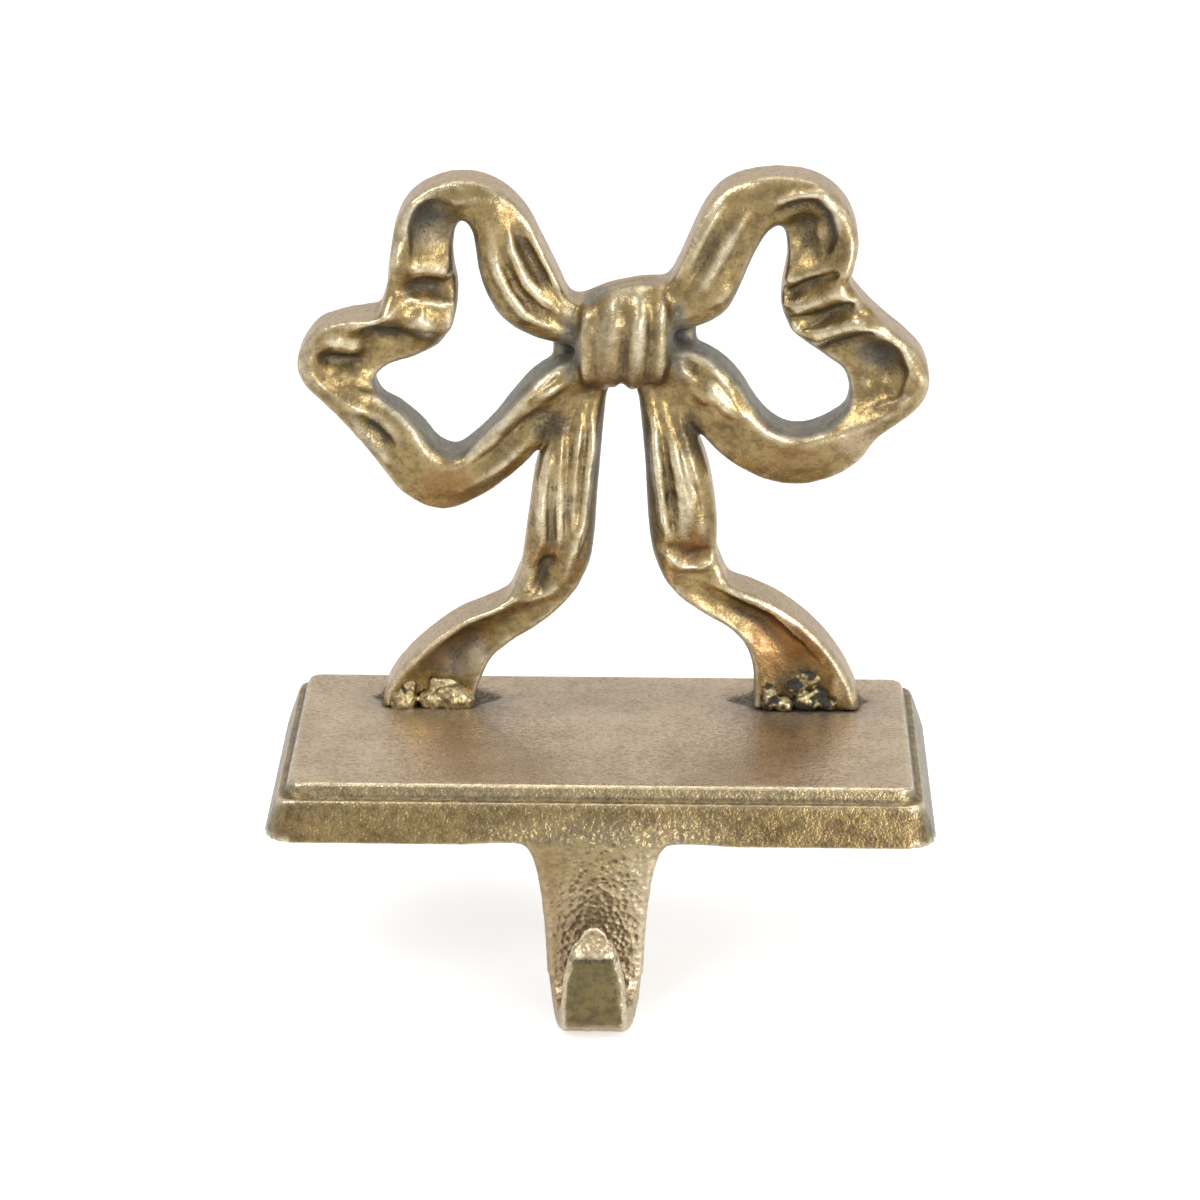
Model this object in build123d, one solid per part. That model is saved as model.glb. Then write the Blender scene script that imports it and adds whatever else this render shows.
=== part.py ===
from build123d import *
import os
from math import atan, cos, degrees, exp, radians, sin
from typing import NamedTuple

# Base plate: a flared slab, a narrow ledge and a raised panel, centred over the origin on the underside
PLATE_WIDTH = 127.0
PLATE_DEPTH = 58.0
SLAB_HEIGHT = 7.6
SLAB_FLARE = 2.6
LEDGE_WIDTH = 1.2
PANEL_HEIGHT = 2.7
PANEL_LEAN = 0.9
CORNER_RADIUS = 2.4

# Strap, hung from the front edge of the slab and narrowing as it falls
STRAP_SHIFT = -0.8
STRAP_SETBACK = 0.2
STRAP_THICKNESS = 5.5
STRAP_LENGTH = 28.0
STRAP_END_WIDTH = 17.6
STRAP_SPREAD = 7.6
STRAP_TAPER = 12.0
STRAP_BEVEL = 0.9
ROOT_HEIGHT = 2.0
ROOT_FLARE = 4.0
ROOT_FLARE_RUN = 1.5

# Sides of the strap's section, counted round it, that are flat from end to end: its front and its back
STRAP_FLATS = (3, 7)

# Hook: the strap's end, turned forwards and up to a narrow tip
THROAT_GAP = 7.0
TIP_RISE = 12.5
TIP_ROOT_WIDTH = 12.2
TIP_ROOT_THICKNESS = 5.0
TIP_WIDTH = 7.2
TIP_THICKNESS = 3.4

# Bow: its back stands in one plane, its ribbons are this deep, and its knot swells in front of them
BOW_WIDTH = 119.8
BOW_HEIGHT = 108.3
BOW_BACK = 19.5
RIBBON_DEPTH = 10.0
KNOT_SWELL = 2.6
WEB_REACH = 4.6
WEB_THICKNESS = 4.0

# Seats for the feet in the plate's top, and the braze along the front of each foot
SEAT_DEPTH = 0.8
SEAT_GAP = 0.3
SEAT_RUNOUT = 6.0
BRAZE_SINK = 4.2

PLATE_TOP = SLAB_HEIGHT + PANEL_HEIGHT
PLATE_FRONT = -PLATE_DEPTH / 2
BOW_FRONT = BOW_BACK - RIBBON_DEPTH

# The tables of the bow below are drawn for this width, height over the plate and ribbon depth
DRAWN_WIDTH = 119.8
DRAWN_HEIGHT = 108.3
DRAWN_DEPTH = 10.0

# Reliefs across a ribbon, from the edge beside the opening to the far edge: (share of the width, sink below
# the bow's front). Those of the loops have as many points each, and so have the last three, those of the
# tails, so that the ridges run on from one to the next.
GATHERED = ((0, 2.4), (0.30, 0.2), (0.46, 1.4), (0.64, 0.0), (0.82, 1.5), (1, 0.4))
BANDED = ((0, 2.4), (0.26, 0.9), (0.46, 0.3), (0.64, 0.9), (0.82, 1.0), (1, 0.2))
ROLLED = ((0, 2.4), (0.28, 0.8), (0.46, 0.3), (0.64, 0.3), (0.82, 0.8), (1, 1.8))
OPEN = ((0, 4.8), (0.20, 4.5), (0.44, 3.6), (0.68, 2.0), (0.87, 0.0), (1, 1.0))
CROSSED = ((0, 3.0), (0.18, 2.4), (0.32, 1.6), (0.44, 0.8), (0.56, 0.0), (1, 1.8))
TURNED = ((0, 1.6), (0.06, 0.9), (0.12, 0.3), (0.20, 0.0), (0.58, 0.8), (1, 2.4))
DRAWN = ((0, 1.4), (0.12, 0.2), (0.22, 1.1), (0.35, 0.0), (0.62, 1.1), (1, 2.6))
PLEATED = ((0, 3.0), (0.24, 0.2), (0.36, 1.3), (0.48, 0.2), (0.61, 1.3), (0.78, 0.0), (1, 2.6))
TUCKED = ((0, 2.4), (0.22, 0.3), (0.34, 0.9), (0.48, 1.5), (0.61, 2.2), (0.78, 1.9), (1, 2.0))
SPLAYED = ((0, 1.0), (0.24, 1.8), (0.38, 2.0), (0.52, 2.0), (0.70, 1.4), (0.92, 0.0), (1, 0.6))


class Rung(NamedTuple):
    """A stop along a ribbon: its edges in front view (x, height over the plate), relief and extra sink.

    Between two creased stops the ribbon is folded straight across.
    """

    near: tuple
    far: tuple
    relief: tuple
    sink: float = 0.0
    creased: bool = False


def between(first, second, share=0.5):
    """A relief part of the way from one to another."""
    return tuple(
        (a[0] + (b[0] - a[0]) * share, a[1] + (b[1] - a[1]) * share) for a, b in zip(first, second)
    )


# Each loop runs from the knot over its top, through the crossed folds of its dent, round the outer lobe and
# back along its lower run to the knot
LEFT_LOOP = (
    Rung((-0.8, 74.0), (-1.0, 82.6), GATHERED, 1.0),
    Rung((-6.2, 74.2), (-5.7, 83.2), GATHERED, 0.6),
    Rung((-12.5, 75.8), (-8.6, 88.2), GATHERED),
    Rung((-18.7, 79.3), (-10.4, 92.1), GATHERED),
    Rung((-22.2, 84.7), (-12.1, 95.6), GATHERED),
    Rung((-23.7, 90.2), (-14.1, 99.6), between(GATHERED, ROLLED)),
    Rung((-24.2, 94.5), (-17.3, 103.5), ROLLED),
    Rung((-25.1, 97.6), (-21.6, 106.2), between(ROLLED, CROSSED)),
    Rung((-26.2, 98.6), (-26.5, 107.1), CROSSED),
    Rung((-27.3, 97.8), (-31.7, 106.0), between(CROSSED, OPEN)),
    Rung((-28.2, 95.3), (-36.3, 103.0), OPEN),
    Rung((-28.5, 92.4), (-39.2, 97.6), OPEN, 0.0, True),
    Rung((-28.4, 89.7), (-40.2, 91.2), OPEN, -1.4, True),
    Rung((-27.6, 85.8), (-40.8, 85.6), OPEN, 0.9, True),
    Rung((-27.7, 81.6), (-42.4, 80.8), OPEN, -1.8, True),
    Rung((-28.6, 77.6), (-48.0, 80.0), between(OPEN, CROSSED, 0.3), -1.6, True),
    Rung((-31.2, 73.6), (-53.2, 78.4), between(OPEN, CROSSED, 0.2), 0.2, True),
    Rung((-36.0, 70.9), (-56.8, 74.4), OPEN, 0.4),
    Rung((-41.0, 69.2), (-58.2, 70.6), OPEN),
    Rung((-43.6, 66.8), (-57.0, 66.6), between(OPEN, CROSSED, 0.4)),
    Rung((-42.8, 63.8), (-53.2, 62.3), CROSSED),
    Rung((-38.6, 60.9), (-48.5, 57.0), between(CROSSED, TURNED)),
    Rung((-34.3, 56.9), (-43.7, 50.7), TURNED),
    Rung((-31.5, 53.4), (-38.5, 43.8), TURNED),
    Rung((-28.6, 52.3), (-31.6, 40.6), TURNED),
    Rung((-25.6, 54.2), (-24.6, 42.8), TURNED),
    Rung((-21.4, 58.2), (-18.4, 47.2), TURNED),
    Rung((-17.6, 63.2), (-13.6, 52.0), between(TURNED, DRAWN)),
    Rung((-13.4, 68.0), (-9.0, 59.0), DRAWN),
    Rung((-8.6, 71.0), (-4.2, 63.6), DRAWN, 0.6),
    Rung((-1.0, 72.8), (1.5, 67.6), DRAWN, 1.0),
)
RIGHT_LOOP = (
    Rung((6.7, 76.0), (6.6, 84.0), GATHERED, 1.0),
    Rung((12.8, 77.4), (11.1, 86.0), GATHERED, 0.6),
    Rung((18.4, 78.6), (14.1, 91.0), between(GATHERED, BANDED)),
    Rung((22.7, 81.1), (15.9, 95.3), BANDED),
    Rung((25.4, 86.1), (17.4, 98.8), BANDED),
    Rung((27.2, 90.8), (19.4, 102.6), between(BANDED, ROLLED)),
    Rung((29.0, 94.6), (22.9, 106.1), ROLLED),
    Rung((30.7, 97.0), (28.0, 107.9), between(ROLLED, CROSSED)),
    Rung((32.5, 98.1), (33.2, 108.3), CROSSED),
    Rung((33.6, 96.9), (38.6, 107.5), between(CROSSED, OPEN)),
    Rung((34.2, 94.4), (43.5, 104.5), OPEN),
    Rung((34.3, 92.0), (46.5, 99.9), OPEN),
    Rung((34.0, 89.5), (47.5, 94.4), OPEN, -0.4, True),
    Rung((33.5, 87.0), (46.4, 89.8), OPEN, -1.8, True),
    Rung((33.2, 84.5), (46.0, 87.4), OPEN, 0.6, True),
    Rung((33.3, 81.9), (48.2, 84.6), OPEN, -1.6, True),
    Rung((33.8, 79.9), (50.4, 82.2), OPEN, 0.8, True),
    Rung((35.0, 77.6), (53.0, 79.8), between(OPEN, CROSSED, 0.3), -1.6, True),
    Rung((37.4, 75.2), (56.6, 76.8), OPEN, -0.6, True),
    Rung((42.0, 71.6), (60.4, 72.4), OPEN, 0.2),
    Rung((45.4, 69.0), (61.6, 67.6), OPEN),
    Rung((46.6, 65.0), (60.2, 63.4), between(OPEN, CROSSED, 0.4)),
    Rung((46.0, 61.7), (56.6, 59.7), CROSSED),
    Rung((43.5, 59.5), (51.9, 55.9), between(CROSSED, TURNED)),
    Rung((40.7, 58.0), (48.8, 51.4), TURNED),
    Rung((38.0, 57.2), (43.6, 47.9), TURNED),
    Rung((35.2, 57.3), (36.6, 46.3), TURNED),
    Rung((31.9, 59.1), (29.3, 47.9), TURNED),
    Rung((28.7, 62.8), (23.3, 51.5), between(TURNED, DRAWN)),
    Rung((25.8, 67.5), (18.6, 56.4), DRAWN),
    Rung((21.5, 71.7), (14.6, 61.6), DRAWN),
    Rung((16.6, 74.0), (11.0, 65.0), DRAWN, 0.6),
    Rung((9.4, 74.8), (7.4, 68.0), DRAWN, 1.0),
)

# Each tail comes out under the knot, hangs, folds over at its bend and splays out as a foot
LEFT_TAIL = (
    Rung((2.0, 70.0), (-5.4, 69.0), PLEATED, 3.0),
    Rung((0.5, 63.8), (-8.4, 62.3), PLEATED, 2.4),
    Rung((-0.2, 57.3), (-11.1, 55.4), PLEATED, 1.2),
    Rung((-0.8, 50.1), (-13.2, 48.9), PLEATED, 0.3),
    Rung((-1.4, 42.8), (-14.3, 41.6), PLEATED),
    Rung((-1.9, 35.0), (-15.3, 34.2), PLEATED),
    Rung((-2.8, 29.6), (-16.3, 27.8), TUCKED, 0.0, True),
    Rung((-4.7, 25.4), (-18.4, 22.8), between(TUCKED, SPLAYED), 0.0, True),
    Rung((-8.2, 20.9), (-22.5, 20.4), SPLAYED),
    Rung((-13.2, 16.5), (-28.0, 17.9), SPLAYED),
    Rung((-18.3, 13.1), (-33.4, 14.0), SPLAYED),
    Rung((-21.9, 9.8), (-38.4, 9.2), SPLAYED),
    Rung((-23.8, 5.8), (-41.8, 4.6), SPLAYED),
    Rung((-25.4, 0), (-43.4, 0), SPLAYED),
)
RIGHT_TAIL = (
    Rung((5.3, 70.0), (13.4, 69.4), PLEATED, 3.0),
    Rung((6.4, 63.9), (15.6, 62.5), PLEATED, 2.4),
    Rung((7.2, 57.3), (17.7, 55.8), PLEATED, 1.2),
    Rung((7.8, 51.2), (19.7, 50.5), PLEATED, 0.3),
    Rung((8.2, 44.0), (21.1, 43.7), PLEATED),
    Rung((8.7, 36.7), (21.8, 37.3), PLEATED),
    Rung((9.7, 31.2), (21.8, 31.6), TUCKED, 0.0, True),
    Rung((11.4, 27.2), (23.9, 26.4), between(TUCKED, SPLAYED), 0.0, True),
    Rung((15.2, 22.6), (28.8, 24.3), SPLAYED),
    Rung((20.0, 19.3), (34.3, 21.5), SPLAYED),
    Rung((24.6, 16.3), (39.5, 17.5), SPLAYED),
    Rung((27.5, 13.1), (44.3, 12.3), SPLAYED),
    Rung((29.0, 8.8), (47.9, 6.4), SPLAYED),
    Rung((29.4, 0), (50.0, 0), SPLAYED),
)

# Knot: its pleats across the front (share of the width, sink below the swell), and its levels, bottom first
KNOT_PLEATS = (
    (0, 4.0), (0.08, 1.0), (0.16, 1.5), (0.23, 0.7), (0.30, 1.2), (0.41, 0.4),
    (0.57, 1.3), (0.69, 0.0), (0.83, 1.3), (0.93, 0.6), (1, 3.4),
)


class Level(NamedTuple):
    """A level of the knot: its left and right ends in front view (x, height over the plate), and sink."""

    left: tuple
    right: tuple
    sink: float


KNOT_LEVELS = (
    Level((-4.0, 66.8), (11.8, 68.0), 3.4),
    Level((-4.8, 68.6), (12.4, 69.8), 0.9),
    Level((-5.2, 74.5), (12.8, 76.0), 0.0),
    Level((-4.9, 82.0), (12.4, 85.2), 1.6),
    Level((-4.4, 83.2), (12.0, 86.5), 4.5),
)

# Drops of each braze: (share of the foot's width, radius, height, turn), and the profile they share
LEFT_LUMPS = ((0.32, 5.2, 4.6, 10), (0.70, 4.5, 4.2, 25))
RIGHT_LUMPS = ((0.26, 4.4, 3.6, 15), (0.56, 5.2, 4.8, 35))
LUMP_PROFILE = ((0, 1.0), (0.6, 0.8), (1, 0.35))
LUMP_FACETS = 6


def spread(x):
    """A drawn place across the bow, at its real width."""
    return x * BOW_WIDTH / DRAWN_WIDTH


def level_of(z):
    """A drawn height over the plate, at the bow's real height and counted from the underside."""
    return PLATE_TOP + z * BOW_HEIGHT / DRAWN_HEIGHT


def depth_of(sink):
    """A drawn depth below the bow's front, at the ribbons' real depth."""
    return sink * RIBBON_DEPTH / DRAWN_DEPTH


def front_point(start, end, share, y):
    """A point part of the way between two drawn ones, at a depth y."""
    (x0, z0), (x1, z1) = start, end
    return Vector(spread(x0 + (x1 - x0) * share), y, level_of(z0 + (z1 - z0) * share))


def heading(before, here, after):
    """The direction of a smooth rail at a point: as a parabola through it and its neighbours has it."""
    back, ahead = here - before, after - here
    return (back.normalized() * ahead.length + ahead.normalized() * back.length).normalized()


def headings(points):
    """The directions of a smooth rail at its points: those at its ends mirror the next ones."""
    inner = [heading(*three) for three in zip(points, points[1:], points[2:])]
    first = (points[1] - points[0]).normalized() * 2 - inner[0]
    last = (points[-1] - points[-2]).normalized() * 2 - inner[-1]
    return [first, *inner, last]


def rail(points, creased):
    """A rail's edges from point to point: straight between two creased points, and smooth elsewhere."""
    ways = headings(points)
    edges = []
    for k, ends in enumerate(zip(points, points[1:])):
        if creased[k] and creased[k + 1]:
            edges.append(Edge.make_line(*ends))
        else:
            edges.append(Edge.make_spline(list(ends), tangents=ways[k:k + 2]))
    return edges


def skin(rows, flat_sides, creased):
    """A solid through rows of points, with rails along them and straight rulings from rail to rail.

    A flat side is one plane face, and each other side has a patch from row to row.
    """
    rails = [rail(points, creased) for points in zip(*rows)]
    faces = []
    for side, (first, second) in enumerate(zip(rails, rails[1:] + rails[:1])):
        if side in flat_sides:
            ends = [Edge.make_line(row[side], row[(side + 1) % len(row)]) for row in (rows[0], rows[-1])]
            faces.append(Face(Wire(first + second + ends)))
        else:
            faces += [Face.make_surface_from_curves(a, b) for a, b in zip(first, second)]
    caps = [Face(Wire.make_polygon(row, close=True)) for row in (rows[0], rows[-1])]
    return Solid(Shell(faces + caps))


def ribbon_row(rung):
    """The section of a ribbon at a rung: from its back over the relief of its front to its back again."""
    relief = [(share, BOW_FRONT + depth_of(sink + rung.sink)) for share, sink in rung.relief]
    outline = [(0, BOW_BACK), *relief, (1, BOW_BACK)]
    return [front_point(rung.near, rung.far, share, y) for share, y in outline]


def ribbon(rungs, let_down):
    """A ribbon of the bow through its rungs, with its last one let straight down by so much."""
    rows = [ribbon_row(rung) for rung in rungs]
    creased = [rung.creased for rung in rungs]
    if let_down:
        rows.append([point - Vector(0, 0, let_down) for point in rows[-1]])
        creased.append(False)
    return skin(rows, flat_sides=(len(rows[0]) - 1,), creased=creased)


def knot():
    """The pleated band round the middle of the bow, with a web behind it that joins the ribbons."""
    rows = []
    for level in KNOT_LEVELS:
        front = BOW_FRONT - KNOT_SWELL + depth_of(level.sink)
        web = BOW_BACK - WEB_THICKNESS
        reach = WEB_REACH / (spread(level.right[0]) - spread(level.left[0]))
        left_web = [(-reach, BOW_BACK), (-reach, web), (0, web)]
        right_web = [(1, web), (1 + reach, web), (1 + reach, BOW_BACK)]
        pleats = [(share, front + depth_of(sink)) for share, sink in KNOT_PLEATS]
        outline = left_web + pleats + right_web
        rows.append([front_point(level.left, level.right, share, y) for share, y in outline])
    return skin(rows, flat_sides=(len(rows[0]) - 1,), creased=[False] * len(rows))


def bow():
    """Loops, tails and knot as the one casting they are."""
    loops = [ribbon(LEFT_LOOP, 0), ribbon(RIGHT_LOOP, 0)]
    tails = [ribbon(LEFT_TAIL, SEAT_DEPTH), ribbon(RIGHT_TAIL, SEAT_DEPTH)]
    return knot() + loops + tails


def step(bottom, bottom_inset, top, top_inset):
    """A leaning step of the plate between two heights, with round corners."""
    height, run = top - bottom, top_inset - bottom_inset
    width, depth = PLATE_WIDTH - 2 * bottom_inset, PLATE_DEPTH - 2 * bottom_inset
    outline = Pos(0, 0, bottom) * RectangleRounded(width, depth, CORNER_RADIUS + run)
    return extrude(outline, height, taper=degrees(atan(run / height)))


def strap_row(y, z, turn, width, thickness):
    """The bevelled section of the strap: turn is 0 where it hangs and 180 where its end points up."""
    across, through, bevel = width / 2, thickness / 2, STRAP_BEVEL
    outline = [(across - bevel, through), (across, through - bevel), (across, bevel - through),
               (across - bevel, -through)]
    outline += [(-a, b) for a, b in reversed(outline)]
    out_y, out_z = cos(radians(turn)), -sin(radians(turn))
    return [Vector(STRAP_SHIFT + a, y + b * out_y, z + b * out_z) for a, b in outline]


def strap():
    """The strap, from its root in the slab down to where the hook starts to bend."""
    middle = PLATE_FRONT + STRAP_SETBACK + STRAP_THICKNESS / 2
    rows = []
    for share in (0, 0.025, 0.065, 0.14, 0.29, 0.5, 0.75, 1):
        drop = STRAP_LENGTH * share
        flare = STRAP_SPREAD * exp(-drop / STRAP_TAPER) + ROOT_FLARE * exp(-drop / ROOT_FLARE_RUN)
        rows.append(strap_row(middle, -drop, 0, STRAP_END_WIDTH + flare, STRAP_THICKNESS))
    lean = Vector(0, SLAB_FLARE * ROOT_HEIGHT / SLAB_HEIGHT, ROOT_HEIGHT)
    top_row = [point + lean for point in rows[0]]
    root = Solid.make_loft([Wire.make_polygon(row, close=True) for row in (top_row, rows[0])], ruled=True)
    return root + skin(rows, flat_sides=STRAP_FLATS, creased=[False] * len(rows))


def hook():
    """The strap's end, turned forwards and up through half a circle, and drawn out to the tip."""
    middle = PLATE_FRONT + STRAP_SETBACK + STRAP_THICKNESS / 2
    bend = (THROAT_GAP + STRAP_THICKNESS) / 2
    turned = []
    for turn in (0, 30, 60, 90, 120, 150, 180):
        share = (1 - cos(radians(turn))) / 2
        y = middle - 2 * bend * share
        z = -STRAP_LENGTH - bend * sin(radians(turn))
        width = STRAP_END_WIDTH + (TIP_ROOT_WIDTH - STRAP_END_WIDTH) * share
        thickness = STRAP_THICKNESS + (TIP_ROOT_THICKNESS - STRAP_THICKNESS) * share
        turned.append(strap_row(y, z, turn, width, thickness))
    tip = []
    for share in (0, 0.4, 0.75, 1):
        width = TIP_ROOT_WIDTH + (TIP_WIDTH - TIP_ROOT_WIDTH) * share**2
        thickness = TIP_ROOT_THICKNESS + (TIP_THICKNESS - TIP_ROOT_THICKNESS) * share
        tip.append(strap_row(middle - 2 * bend, TIP_RISE * share - STRAP_LENGTH, 180, width, thickness))
    bent = skin(turned, flat_sides=(), creased=[False] * len(turned))
    return bent + skin(tip, flat_sides=(), creased=[True] * len(tip))


def seat(foot):
    """The sunk seat of a foot: its footprint with room for braze, and a lens that runs past both ends."""
    near, far = spread(foot.near[0]), spread(foot.far[0])
    out = 1 if near > far else -1
    half = RIBBON_DEPTH / 2 + SEAT_GAP
    row = BOW_BACK - RIBBON_DEPTH / 2
    inner, outer = near + out * SEAT_RUNOUT, far - out * SEAT_RUNOUT / 2
    middle = (inner + outer) / 2
    lens = make_face(
        [ThreePointArc((inner, row), (middle, row + half), (outer, row)),
         ThreePointArc((outer, row), (middle, row - half), (inner, row))]
    )
    footprint = Pos((near + far) / 2, row) * Rectangle(abs(near - far) + 2 * SEAT_GAP, 2 * half)
    return extrude(Pos(0, 0, PLATE_TOP - SEAT_DEPTH) * (lens + footprint), SEAT_DEPTH)


def base_with_hook():
    """The plate, the strap and the hook as one casting, with the seats sunk in its top."""
    ledge = SLAB_FLARE + LEDGE_WIDTH
    plate = step(0, 0, SLAB_HEIGHT, SLAB_FLARE) + step(SLAB_HEIGHT, ledge, PLATE_TOP, ledge + PANEL_LEAN)
    return plate + strap() + hook() - seat(LEFT_TAIL[-1]) - seat(RIGHT_TAIL[-1])


def lump(radius, height):
    """A rough drop of filler: a low dome of flat facets on the plate."""
    rings = [
        Pos(0, 0, height * level) * RegularPolygon(radius * share, LUMP_FACETS)
        for level, share in LUMP_PROFILE
    ]
    return loft(rings, ruled=True)


def braze(foot, lumps, casting):
    """Drops of filler along the front of a foot, moulded round the casting."""
    near, far = spread(foot.near[0]), spread(foot.far[0])
    row = BOW_FRONT + BRAZE_SINK
    drops = [
        Pos(near + (far - near) * share, row, PLATE_TOP) * Rot(0, 0, turn) * lump(radius, height)
        for share, radius, height, turn in lumps
    ]
    return Part() + drops - casting


def main():
    """Build every piece and write it under its own name."""
    casting = bow()
    pieces = {
        "bow": casting,
        "base_with_hook": base_with_hook(),
        "left_braze": braze(LEFT_TAIL[-1], LEFT_LUMPS, casting),
        "right_braze": braze(RIGHT_TAIL[-1], RIGHT_LUMPS, casting),
    }
    os.makedirs("parts", exist_ok=True)
    for name, shape in pieces.items():
        export_step(shape, f"parts/{name}.step")


if __name__ == "__main__":
    main()
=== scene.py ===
"""Mantel stocking holder: an antique brass bow, brazed by its feet to a stepped plate with a hook.

The two castings are re-skinned from the frame's solids as fine closed meshes, worked over as whole arrays
(relaxed, pressed, pitted and hammered) and given attributes from their own shape, which the finish reads. The
brazing is made of drops, each a surface on a two-parameter grid. Lengths are in metres, and in millimetres
where a name ends in mm, in spans and in front view.
"""

from __future__ import annotations

import logging
from dataclasses import dataclass, field
from enum import Enum, IntEnum
from math import pi, radians
from typing import Any

import bpy
import numpy as np
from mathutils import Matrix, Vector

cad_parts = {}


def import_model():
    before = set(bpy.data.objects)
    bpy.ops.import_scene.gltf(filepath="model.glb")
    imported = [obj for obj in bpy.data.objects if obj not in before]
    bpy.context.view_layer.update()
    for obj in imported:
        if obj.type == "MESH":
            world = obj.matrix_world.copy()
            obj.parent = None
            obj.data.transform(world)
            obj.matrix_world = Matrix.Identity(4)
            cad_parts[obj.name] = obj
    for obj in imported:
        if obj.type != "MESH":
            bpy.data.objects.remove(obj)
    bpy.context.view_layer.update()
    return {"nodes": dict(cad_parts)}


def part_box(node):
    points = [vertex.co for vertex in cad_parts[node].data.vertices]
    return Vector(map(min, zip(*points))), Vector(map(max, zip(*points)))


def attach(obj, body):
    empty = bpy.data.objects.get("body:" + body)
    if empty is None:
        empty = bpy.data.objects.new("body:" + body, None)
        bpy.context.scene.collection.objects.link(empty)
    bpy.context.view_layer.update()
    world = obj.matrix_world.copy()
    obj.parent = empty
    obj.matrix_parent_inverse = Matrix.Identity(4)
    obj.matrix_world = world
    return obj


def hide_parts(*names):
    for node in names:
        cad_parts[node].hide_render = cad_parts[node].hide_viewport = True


MM = 0.001
Span = tuple[float, float]
log = logging.getLogger("stocking_holder")


class Axis(IntEnum):
    """Columns of an array of places."""

    X = 0
    Y = 1
    Z = 2


class Node(Enum):
    """The frame's nodes that the pieces stand for."""

    BASE = "base_with_hook"
    BOW = "bow"
    LEFT_BRAZE = "left_braze"
    RIGHT_BRAZE = "right_braze"


class Trait(Enum):
    """Attributes of the metal's skin that its finish reads, each from 0 to 1."""

    HOLLOW = "hollow"
    # Bright on what stands out: rubbed wear, and partly a painted highlight.
    RUBBED_AND_HIGHLIGHT = "ridge"
    # Tan: the plate top's own tone, and painted light on the bow's outward walls and on the lower hook.
    TAN = "tan"
    # Grey: oxide and grey marks round the feet, and painted shade on the bow's inward walls and in gaps
    # beside the knot.
    GREY_AND_SHADE = "grey"
    # Dark: burnt grains of the filler, and painted shade in crevices, seats, gaps and under the knot.
    STAIN_AND_SHADE = "stain"
    BRUSHED = "brushed"
    OLIVE = "olive"
    # Copper: where the finish is rubbed through, and painted shade on the knot's lower half and the strap's
    # left side.
    COPPER_AND_SHADE = "copper"
    HAMMERED = "hammered"
    PITTED = "pitted"


def ramp(values: np.ndarray, low: float, high: float) -> np.ndarray:
    """Smooth step: 0 below low, 1 above high, and three times t squared less twice t cubed between.

    Args:
        values: Numbers to map.
        low: Where the step starts; it may be above high, which turns the step round.
        high: Where the step ends.

    Returns:
        The mapped numbers, from 0 to 1.
    """
    t = np.clip((values - low) / (high - low), 0.0, 1.0)
    return t * t * (3.0 - 2.0 * t)


@dataclass(frozen=True)
class Grain:
    """Repeatable noise in space, from hashed lattice points."""

    seed: int

    def hashed(self, cells: np.ndarray, salt: int = 0) -> np.ndarray:
        """Numbers from 0 to 1 for whole-numbered cells, by multiplying and folding their bits.

        Args:
            cells: Whole numbers, one row of three for each cell.
            salt: Picks another set of numbers for the same cells.

        Returns:
            One number for each cell.
        """
        c = cells.astype(np.int64).astype(np.uint64)
        h = c[:, 0] * np.uint64(73856093) ^ c[:, 1] * np.uint64(19349663) ^ c[:, 2] * np.uint64(83492791)
        h ^= np.uint64(self.seed * 7919 + salt * 104729 + 1)
        for shift, factor in ((33, 0xFF51AFD7ED558CCD), (33, 0xC4CEB9FE1A85EC53)):
            h ^= h >> np.uint64(shift)
            h *= np.uint64(factor)
        return (h >> np.uint64(40)).astype(float) / float(1 << 24)

    def smooth(self, points: np.ndarray, size: float) -> np.ndarray:
        """Value noise: the hashes of the eight corners round a point, mixed by smooth steps.

        Args:
            points: Places, one row of three each.
            size: Width of a lattice cell.

        Returns:
            Noise from -1 to 1 for each place.
        """
        scaled = points / size
        corner = np.floor(scaled)
        t = scaled - corner
        t = t * t * (3.0 - 2.0 * t)
        total = np.zeros(len(points))
        for step in np.ndindex(2, 2, 2):
            offset = np.array(step)
            weight = np.prod(np.where(offset == 1, t, 1.0 - t), axis=1)
            total += weight * self.hashed(corner + offset)
        return 2.0 * total - 1.0

    def layered(self, points: np.ndarray, size: float, layers: int = 3) -> np.ndarray:
        """Sum of noises, each half as wide and half as strong as the one before it."""
        return sum(self.smooth(points + 17.3 * size * k, size / 2**k) / 2**k for k in range(layers))

    def cells(self, points: np.ndarray, size: float) -> tuple[np.ndarray, np.ndarray]:
        """Cellular noise: how far the nearest of one scattered point per cell is, and that point's number.

        Args:
            points: Places, one row of three each.
            size: Width of a cell.

        Returns:
            The distance in cell widths, and a number from 0 to 1 that is the nearest point's own.
        """
        scaled = points / size
        home = np.floor(scaled)
        nearest = np.full(len(points), np.inf)
        number = np.zeros(len(points))
        for step in np.ndindex(3, 3, 3):
            cell = home + np.array(step) - 1.0
            place = cell + np.stack([self.hashed(cell, salt) for salt in (1, 2, 3)], axis=1)
            distance = np.linalg.norm(scaled - place, axis=1)
            closer = distance < nearest
            nearest = np.where(closer, distance, nearest)
            number = np.where(closer, self.hashed(cell, 4), number)
        return nearest, number


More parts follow.
